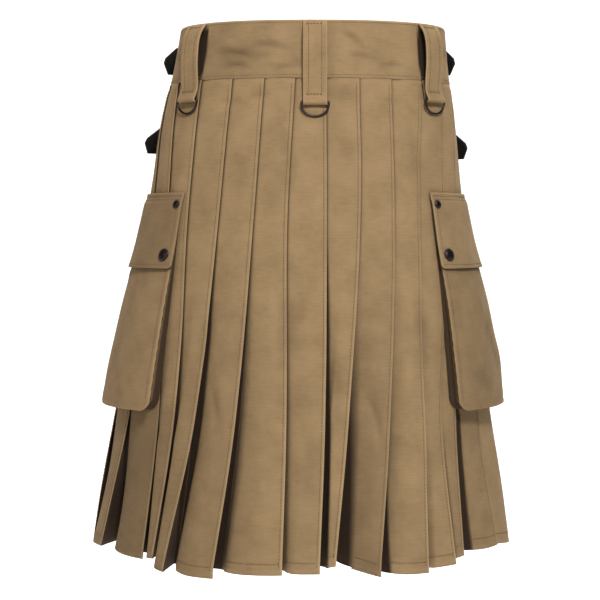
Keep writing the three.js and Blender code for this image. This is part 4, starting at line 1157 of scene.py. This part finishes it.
def pocket_front(side):
    start, end = pocket_sides(side)
    lowest = np.linspace(426, POCKET_BOTTOM - SEAM_GAP, 12)
    rows = np.concatenate([np.linspace(POCKET_FRONT_TOP, 424, 74), lowest])[:, None]
    along = np.linspace(0, 1, 61)[None, :]
    inset = corner_inset(rows)
    low, high = pocket_edge(start, rows) + inset, pocket_edge(end, rows) - inset
    arc = mix(low, high, along)
    drop = np.broadcast_to(rows, arc.shape)
    near = np.minimum(np.minimum(arc - low, high - arc), POCKET_BOTTOM - drop)
    swell = 0.9 * np.sin(along * math.pi) ** 0.7 * ramp(drop - FLAP_BOTTOM, 110)
    ridge = 0.35 * bell(near - 2.6, 1.4) - 0.3 * bell(near - 5.2, 0.9)
    pull = 0.4 * np.sin(drop / 1.95 + arc / 11.0) * np.exp(-near / 6)
    below_flap = ramp(drop - FLAP_BOTTOM + 4, 20)
    fade = ramp(near, 12) * below_flap
    out = front_out(drop) - POCKET_WALL / 2 + swell + ridge + pull * below_flap
    height = crease_height(arc, drop, POCKET_CREASES) * fade
    grid = place(arc, drop, out + height)
    worn = 0.4 * bell(near, 1.1)
    # Painted shade: the pocket's own amount, more in crease troughs, and a painted shadow just below the
    # flap's edge; the inner side carries painted shade too.
    shade = POCKET_PAINTED_SHADE[side][0] + np.clip(-CREASE_PAINTED_SHADE * height, 0, 0.15)
    shade = shade + 0.5 * np.exp(-(np.clip(drop - FLAP_BOTTOM, 0, None) / 2.2))
    obj, up = wall(f"pocket_front_{side}_cloth", grid, POCKET_WALL, worn, shade, 0.6)
    declare(f"pocket_front_{side}")
    height = POCKET_WALL / 2 + STITCH_LIFT
    return [raised(grid, up, np.s_[24:76, column], height) for column in (2, -3)]


def pocket_gusset(side):
    """Side strip of the pocket, folded inwards along its middle."""
    start, end = pocket_sides(side)
    half = POCKET_WALL / 2
    round_corner = POCKET_CORNER - half
    low_drop = POCKET_BOTTOM - half
    walk = [(float(pocket_edge(start, drop)) + half, drop, 1.0, 0.0) for drop in np.linspace(224, 425, 60)]
    for step in range(0, 13):
        turn = step / 12 * math.pi / 2
        drop = low_drop - round_corner + round_corner * math.sin(turn)
        arc = float(pocket_edge(start, drop)) + half + round_corner - round_corner * math.cos(turn)
        walk.append((arc, drop, math.cos(turn), -math.sin(turn)))
    far = float(pocket_edge(end, low_drop)) - half - round_corner
    first = walk[-1][0]
    for share in np.linspace(0, 1, 44)[1:]:
        walk.append((mix(first, far, share), low_drop, 0.0, -1.0))
    for step in range(12, -1, -1):
        turn = step / 12 * math.pi / 2
        drop = low_drop - round_corner + round_corner * math.sin(turn)
        arc = float(pocket_edge(end, drop)) - half - round_corner + round_corner * math.cos(turn)
        walk.append((arc, drop, -math.cos(turn), -math.sin(turn)))
    walk += [(float(pocket_edge(end, drop)) - half, drop, -1.0, 0.0) for drop in np.linspace(425, 224, 60)]
    walk = np.array(walk)
    across = np.linspace(0, 1, 13)[:, None]
    top = front_out(walk[:, 1])[None, :] - POCKET_WALL - NESTED_GAP
    fold = 0.42 * (top - LAID_GAP) * np.sin(across * math.pi) ** 0.8
    arc = walk[None, :, 0] + walk[None, :, 2] * fold
    drop = walk[None, :, 1] + walk[None, :, 3] * fold
    grid = place(arc, drop, mix(LAID_GAP, top, across))
    uv = np.stack(np.broadcast_arrays(np.arange(len(walk))[None, :] * 3.4, across * 16), axis=-1)
    # Painted shade on the gusset's inner side, lighter along its middle fold; the outer side carries painted
    # shade as well.
    shade = 0.93 - 0.65 * bell(across - 0.5, 0.12)
    obj, _ = wall(f"pocket_gusset_{side}_cloth", grid, POCKET_WALL * 0.8, 0.0, 0.6, shade, uv)
    declare(f"pocket_gusset_{side}")


def flap_out(drop, arc=0.0):
    """Middle of the flap, lifting over the pocket's front and waving a little at its loose edge."""
    over = front_out(np.maximum(drop, POCKET_TOP)) + NESTED_GAP + FLAP_THICK / 2
    over = over + ramp(drop - 250, 60) * 1.6
    sewn = LAID_GAP + FLAP_THICK / 2
    lifted = ramp(drop - FLAP_SEAM, 9)
    lifted = lifted * lifted * (3 - 2 * lifted)
    loose = ramp(drop - 225, 50)
    return mix(sewn, over, lifted) + 0.5 * loose * (1 + np.sin(np.asarray(arc) / 14.0 + 1.0))


def pocket_flap(side):
    start, end = pocket_sides(side)
    rows = np.linspace(FLAP_TOP, FLAP_BOTTOM, 44)[:, None]
    along = np.linspace(0, 1, 65)[None, :]
    past = np.clip(rows - (FLAP_BOTTOM - 4), 0, 4)
    inset = 4 - np.sqrt(16 - past ** 2)
    low = pocket_edge(start, rows) - FLAP_OVERHANG + inset
    high = pocket_edge(end, rows) + FLAP_OVERHANG - inset
    arc = mix(low, high, along)
    drop = np.broadcast_to(rows, arc.shape)
    near = np.minimum(arc - low, high - arc)
    groove = np.zeros(arc.shape)
    for level in FLAP_STITCHES:
        groove = groove + 0.3 * bell(drop - level, 0.9)
    ridge = 0.3 * bell(drop - FLAP_TOP - 1.5, 1.5) + 0.3 * bell(FLAP_BOTTOM - 2 - drop, 1.6)
    pull = 0.2 * np.sin(arc / 4.7) * bell(drop - 204, 5)
    grid = place(arc, drop, flap_out(drop, arc) + ridge - groove + pull)
    edge = np.minimum(np.minimum(near, drop - FLAP_TOP), FLAP_BOTTOM - drop)
    worn = 0.4 * bell(edge, 1.1)
    # The flap carries its painted shade on the outer side, and more on the inner side.
    obj, up = wall(f"pocket_flap_{side}_cloth", grid, FLAP_THICK, worn, POCKET_PAINTED_SHADE[side][1], 0.7)
    declare(f"pocket_flap_{side}")
    height = FLAP_THICK / 2 + STITCH_LIFT
    lines = []
    for level in FLAP_STITCHES:
        row = int(np.argmin(np.abs(rows[:, 0] - level)))
        lines.append(raised(grid, up, np.s_[row, 1:-1], height))
    for column in (2, -3):
        lines.append(raised(grid, up, np.s_[5:-4, column], height))
    return lines


def lathe(name, centre, axis, profile, sides, material):
    """Turned shape: profile of radius and height, from its seat to its middle."""
    axis = np.asarray(axis, float) / np.linalg.norm(axis)
    across = np.cross(axis, [0, 0, 1.0])
    across /= np.linalg.norm(across)
    other = np.cross(axis, across)
    turn = np.arange(sides) / sides * 2 * math.pi
    rings = np.array([[centre + axis * height + radius * (math.cos(t) * across + math.sin(t) * other)
                       for t in turn] for radius, height in profile])
    return tube(name, rings, False, material, "kilt")


def snap_profile(radius, height):
    shape = [(0.98, 0.0), (1.0, 0.12), (1.0, 0.3), (0.96, 0.46), (0.88, 0.58), (0.83, 0.6), (0.8, 0.66),
             (0.66, 0.82), (0.48, 0.93), (0.28, 0.98), (0.08, 1.0)]
    return [(radius * r, height * h) for r, h in shape]


def flap_snaps(side):
    for size, snap in SNAPS.items():
        for edge, pair in zip(("inner", "outer"), POCKETS[side]):
            way = math.copysign(1, POCKETS[side][0][0]) * (1 if edge == "inner" else -1)
            arc = float(pocket_edge(pair, snap["drop"])) + way * (snap["inset"] - FLAP_OVERHANG)
            step = 4.0

            def at(a, d):
                return place(a, d, flap_out(d, arc))

            normal = np.cross(at(arc, snap["drop"] + step) - at(arc, snap["drop"] - step),
                              at(arc + step, snap["drop"]) - at(arc - step, snap["drop"]))
            normal /= np.linalg.norm(normal)
            seat = at(arc, snap["drop"]) + normal * (FLAP_THICK / 2 + SEAT_GAP)
            label = f"snap_{size}_{edge}_{side}"
            profile = snap_profile(snap["radius"], snap["height"])
            obj = lathe(f"{label}_cap", seat, normal, profile, 32, GUNMETAL)
            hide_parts(label)


POCKET_STITCHES = []
for pocket_side in POCKETS:
    POCKET_STITCHES += pocket_front(pocket_side)
    pocket_gusset(pocket_side)
    POCKET_STITCHES += pocket_flap(pocket_side)
    flap_snaps(pocket_side)
stitches("pocket_stitching", POCKET_STITCHES)


# Leather straps, buckles and tabs

LEATHER_THICK = 3
STRAP_WIDTH = 35
STRAP_POINT = 11
STRAP_OUT = 10.6
STRAP_ON_BODY = 58
LEAVE_ANGLE = math.radians(40)
STRAPS = {
    "upper_left": dict(side=-1, drop=30, root=2.6, tab=0.7, tip=181, rivet=165),
    "upper_right": dict(side=1, drop=30, root=5.4, tab=0.7, tip=173, rivet=161),
    "lower_left": dict(side=-1, drop=127, root=2.1, tab=0.45, tip=205, rivet=187),
    "lower_right": dict(side=1, drop=133, root=2.1, tab=0.45, tip=189, rivet=174),
}
BUCKLE_WIRE = 1.6
BUCKLE_LENGTH = 26
BUCKLE_WIDTH = STRAP_WIDTH + 8
BUCKLE_CORNER = 4
TAB_LEATHER = 2
TAB_WIDTH = 30
TAB_LENGTH = 42
RIVET_RADIUS = 4.8
RIVET_HEIGHT = 2.2
PRONG_WIRE = 1.3


def unit(vector):
    return vector / np.linalg.norm(vector)


def leave_arc(drop):
    """Arc on the front quarter where the form runs off at the strap's angle."""
    length = float(ring_length(drop))
    low, high = length * 0.25, length * 0.5
    for _ in range(40):
        middle = (low + high) / 2
        normal = place(middle, drop, 1.0) - place(middle, drop, 0.0)
        if normal[0] > math.sin(LEAVE_ANGLE):
            low = middle
        else:
            high = middle
    return low


def down_at(arc, drop):
    reach = STRAP_WIDTH / 2
    return unit(place(arc, drop + reach, 0.0) - place(arc, drop - reach, 0.0))


def strap_line(spec):
    side, drop = spec["side"], spec["drop"]
    leave = leave_arc(drop) * side
    points, downs = [], []
    for share in np.linspace(0, 1, 17):
        arc = leave + side * STRAP_ON_BODY * (1 - share)
        points.append(place(arc, drop, mix(spec["root"], STRAP_OUT, min(share * 1.6, 1))))
        downs.append(down_at(arc, drop))
    end, down = points[-1], downs[-1]
    ahead = np.array([side * math.cos(LEAVE_ANGLE), -math.sin(LEAVE_ANGLE), 0.0])
    free = (spec["tip"] - side * end[0]) / math.cos(LEAVE_ANGLE)
    outward = unit(np.cross(ahead, down) * side)
    return dict(points=points, downs=downs, end=end, down=down, ahead=ahead, free=free,
                outward=outward)


def soft_section(half_width, half_thick, bevel):
    """Flat section with rounded long edges, as across and through offsets."""
    corners = []
    for sign_w, sign_t, start in ((1, 1, 0), (-1, 1, 90), (-1, -1, 180), (1, -1, 270)):
        for step in (0, 30, 60, 90):
            turn = math.radians(start + step)
            corners.append((sign_w * (half_width - bevel) + bevel * math.cos(turn),
                            sign_t * (half_thick - bevel) + bevel * math.sin(turn)))
    return corners


def flat_sweep(name, line, downs, widths, thick, bevel, material):
    """Strip of leather along a line, its width along the down directions."""
    line = np.asarray(line, float)
    tangent = np.gradient(line, axis=0)
    rings = []
    for point, along, down, width in zip(line, tangent, downs, widths):
        through = unit(np.cross(unit(along), down))
        section = soft_section(width / 2, thick / 2, bevel)
        rings.append([point - down * w + through * t for w, t in section])
    return tube(name, np.array(rings), False, material, "kilt")


def strap(label, spec):
    lie = strap_line(spec)
    line = list(lie["points"])
    downs = list(lie["downs"])
    widths = [STRAP_WIDTH] * len(line)
    body_length = lie["free"] - STRAP_POINT
    for share in np.linspace(0, 1, 7)[1:]:
        line.append(lie["end"] + lie["ahead"] * body_length * share)
        downs.append(lie["down"])
        widths.append(STRAP_WIDTH)
    for share in (0.3, 0.6, 0.9, 1.0):
        line.append(lie["end"] + lie["ahead"] * (body_length + STRAP_POINT * share))
        downs.append(lie["down"])
        widths.append(STRAP_WIDTH * mix(1.0, 0.22, share))
    obj = flat_sweep(f"strap_{label}_leather", line, downs, widths, LEATHER_THICK, 0.9,
                     LEATHER)
    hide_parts(f"strap_{label}")
    back = (spec["tip"] - spec["rivet"]) / abs(lie["ahead"][0])
    seat = (lie["end"] + lie["ahead"] * (lie["free"] - back)
            - lie["outward"] * (LEATHER_THICK / 2 + SEAT_GAP))
    shape = [(1.0, 0.0), (1.0, 0.22), (0.92, 0.46), (0.76, 0.7), (0.52, 0.9), (0.26, 0.98), (0.06, 1.0)]
    profile = [(RIVET_RADIUS * r, RIVET_HEIGHT * h) for r, h in shape]
    dome = lathe(f"rivet_{label}_dome", seat, -lie["outward"], profile, 28, STEEL)
    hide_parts(f"rivet_{label}")
    return leather_stitch_lines(line, downs, LEATHER_THICK, STRAP_WIDTH)


def leather_stitch_lines(line, downs, thick, width):
    """Rows along both long edges, on both faces of a strip."""
    line = np.asarray(line, float)[1:-5]
    downs = np.asarray(downs, float)[1:-5]
    tangent = np.gradient(line, axis=0)
    through = np.cross(tangent, downs)
    through /= np.linalg.norm(through, axis=1, keepdims=True)
    lines = []
    for edge in (-1, 1):
        for face in (-1, 1):
            offset = downs * edge * (width / 2 - 3) + through * face * (thick / 2 + 0.08)
            lines.append((line + offset, through * face))
    return lines


def rear_bar(lie):
    depth = LEATHER_THICK / 2 + BUCKLE_WIRE + TAB_LEATHER + 0.7
    return lie["end"] + lie["ahead"] * 2 - lie["outward"] * depth


def buckle(label, spec):
    lie = strap_line(spec)
    clear = LEATHER_THICK / 2 + SEAM_GAP + BUCKLE_WIRE
    rear = rear_bar(lie)
    front = lie["end"] - lie["ahead"] * BUCKLE_LENGTH + lie["outward"] * (clear + 3)
    length = np.linalg.norm(front - rear)
    forward = (front - rear) / length
    up = -lie["down"]
    side_y = BUCKLE_WIDTH / 2 - BUCKLE_CORNER
    line = []
    for x, y, start in ((length - BUCKLE_CORNER, side_y, 0), (BUCKLE_CORNER, side_y, 90),
                        (BUCKLE_CORNER, -side_y, 180), (length - BUCKLE_CORNER, -side_y, 270)):
        for step in range(0, 91, 15):
            turn = math.radians(start + step)
            line.append(rear + forward * (x + BUCKLE_CORNER * math.cos(turn))
                        + up * (y + BUCKLE_CORNER * math.sin(turn)))
    body = sweep(f"buckle_{label}_frame", line, BUCKLE_WIRE, 16, True, STEEL, "kilt")
    prong_back = lie["end"] - lie["ahead"] * 3 + lie["outward"] * (clear - 0.3)
    prong_front = front + lie["outward"] * 0.4
    bend = mix(prong_back, prong_front, 0.5) + lie["outward"] * 0.3
    prong = np.array([mix(mix(prong_back, bend, t), mix(bend, prong_front, t), t)
                      for t in np.linspace(0, 1, 9)])
    pin = sweep(f"buckle_{label}_prong", prong, PRONG_WIRE, 12, False, STEEL, "kilt")
    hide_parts(f"buckle_{label}")
    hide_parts(f"buckle_{label}")


def buckle_tab(label, spec):
    lie = strap_line(spec)
    bar = rear_bar(lie)
    turn_radius = BUCKLE_WIRE + SEAM_GAP + TAB_LEATHER / 2 + 0.15
    leave = leave_arc(spec["drop"]) * spec["side"]
    low = spec["tab"] + TAB_LEATHER / 2
    line, downs = [], []
    for share in (1, 0.85, 0.7, 0.55, 0.4, 0.25):
        arc = leave - spec["side"] * TAB_LENGTH * share
        line.append(place(arc, spec["drop"], low))
        downs.append(down_at(arc, spec["drop"]))
    for angle in range(-90, -271, -15):
        turn = math.radians(angle)
        line.append(bar + lie["ahead"] * turn_radius * math.cos(turn)
                    + lie["outward"] * turn_radius * math.sin(turn))
        downs.append(lie["down"])
    line.append(bar + lie["ahead"] * 8 + lie["outward"] * (turn_radius - 0.6))
    downs.append(lie["down"])
    widths = [TAB_WIDTH] * len(line)
    obj = flat_sweep(f"buckle_tab_{label}_leather", line, downs, widths, TAB_LEATHER, 0.6,
                     LEATHER)
    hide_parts(f"buckle_tab_{label}")


STRAP_STITCHES = []
for strap_label, strap_spec in STRAPS.items():
    STRAP_STITCHES += strap(strap_label, strap_spec)
    buckle(strap_label, strap_spec)
    buckle_tab(strap_label, strap_spec)
stitches("strap_stitching", STRAP_STITCHES, thread=BLACK_THREAD)


# Camera, light and stage

CAMERA_BACK = 1866.6
CAMERA_DROP = 244.3
CAMERA_TILT = 2.36
FOCAL_PIXELS = 1552.3
PICTURE = 600
AXIS_PIXEL_X = 313
FLOOR_LEVEL = -0.95


def camera():
    data = bpy.data.cameras.new("camera")
    data.sensor_width = 36
    data.lens = 36 * FOCAL_PIXELS / PICTURE
    data.shift_x = -(AXIS_PIXEL_X - PICTURE / 2) / PICTURE
    data.clip_end = 50
    obj = bpy.data.objects.new("camera", data)
    obj.location = (0, -CAMERA_BACK * MM, -CAMERA_DROP * MM)
    obj.rotation_euler = (math.pi / 2 - math.radians(CAMERA_TILT), 0, 0)
    bpy.context.scene.collection.objects.link(obj)
    bpy.context.scene.camera = obj


def area_light(name, place_at, target, size, power, colour=(1, 1, 1)):
    data = bpy.data.lights.new(name, "AREA")
    data.shape = "DISK"
    data.size = size
    data.energy = power
    data.color = colour
    obj = bpy.data.objects.new(name, data)
    obj.location = place_at
    obj.rotation_euler = (Vector(target) - Vector(place_at)).to_track_quat("-Z", "Y").to_euler()
    bpy.context.scene.collection.objects.link(obj)


def stage():
    """Pale floor that curves up into a backdrop behind the kilt."""
    profile = [(-6.0, FLOOR_LEVEL), (2.2, FLOOR_LEVEL)]
    for step in range(1, 13):
        turn = step / 12 * math.pi / 2
        profile.append((2.2 + 1.6 * math.sin(turn), FLOOR_LEVEL + 1.6 * (1 - math.cos(turn))))
    profile.append((3.8, 6.0))
    points = []
    for x in (-8.0, 8.0):
        points += [(x / MM, y / MM, z / MM) for y, z in profile]
    count = len(profile)
    faces = [(i, i + 1, count + i + 1, count + i) for i in range(count - 1)]
    obj = make_mesh("stage_floor", points, faces)
    material, tree, shader = new_material("pale_stage")
    shader.inputs["Base Color"].default_value = (0.93, 0.93, 0.93, 1)
    shader.inputs["Roughness"].default_value = 0.95
    obj.data.materials.append(material)


def light():
    area_light("key", (0.55, -2.5, 1.7), (0, 0, -0.25), 0.7, 92)
    area_light("left", (-2.0, -1.9, 0.5), (0, 0, -0.3), 1.0, 10, (1.0, 0.9, 0.78))
    area_light("top", (0.2, -0.5, 2.3), (0, 0, -0.2), 1.2, 14)
    area_light("rear", (0.5, 2.5, 1.0), (0, 0, -0.3), 1.6, 34)
    area_light("backdrop", (0.0, 1.2, 2.2), (0, 3.2, -0.2), 2.2, 120)
    world = bpy.data.worlds.new("studio")
    world.use_nodes = True
    sky = world.node_tree.nodes["Background"]
    sky.inputs["Color"].default_value = (1.0, 0.95, 0.88, 1)
    sky.inputs["Strength"].default_value = 0.15
    bpy.context.scene.world = world
    bpy.context.scene.view_settings.view_transform = "Standard"


camera()
light()
stage()
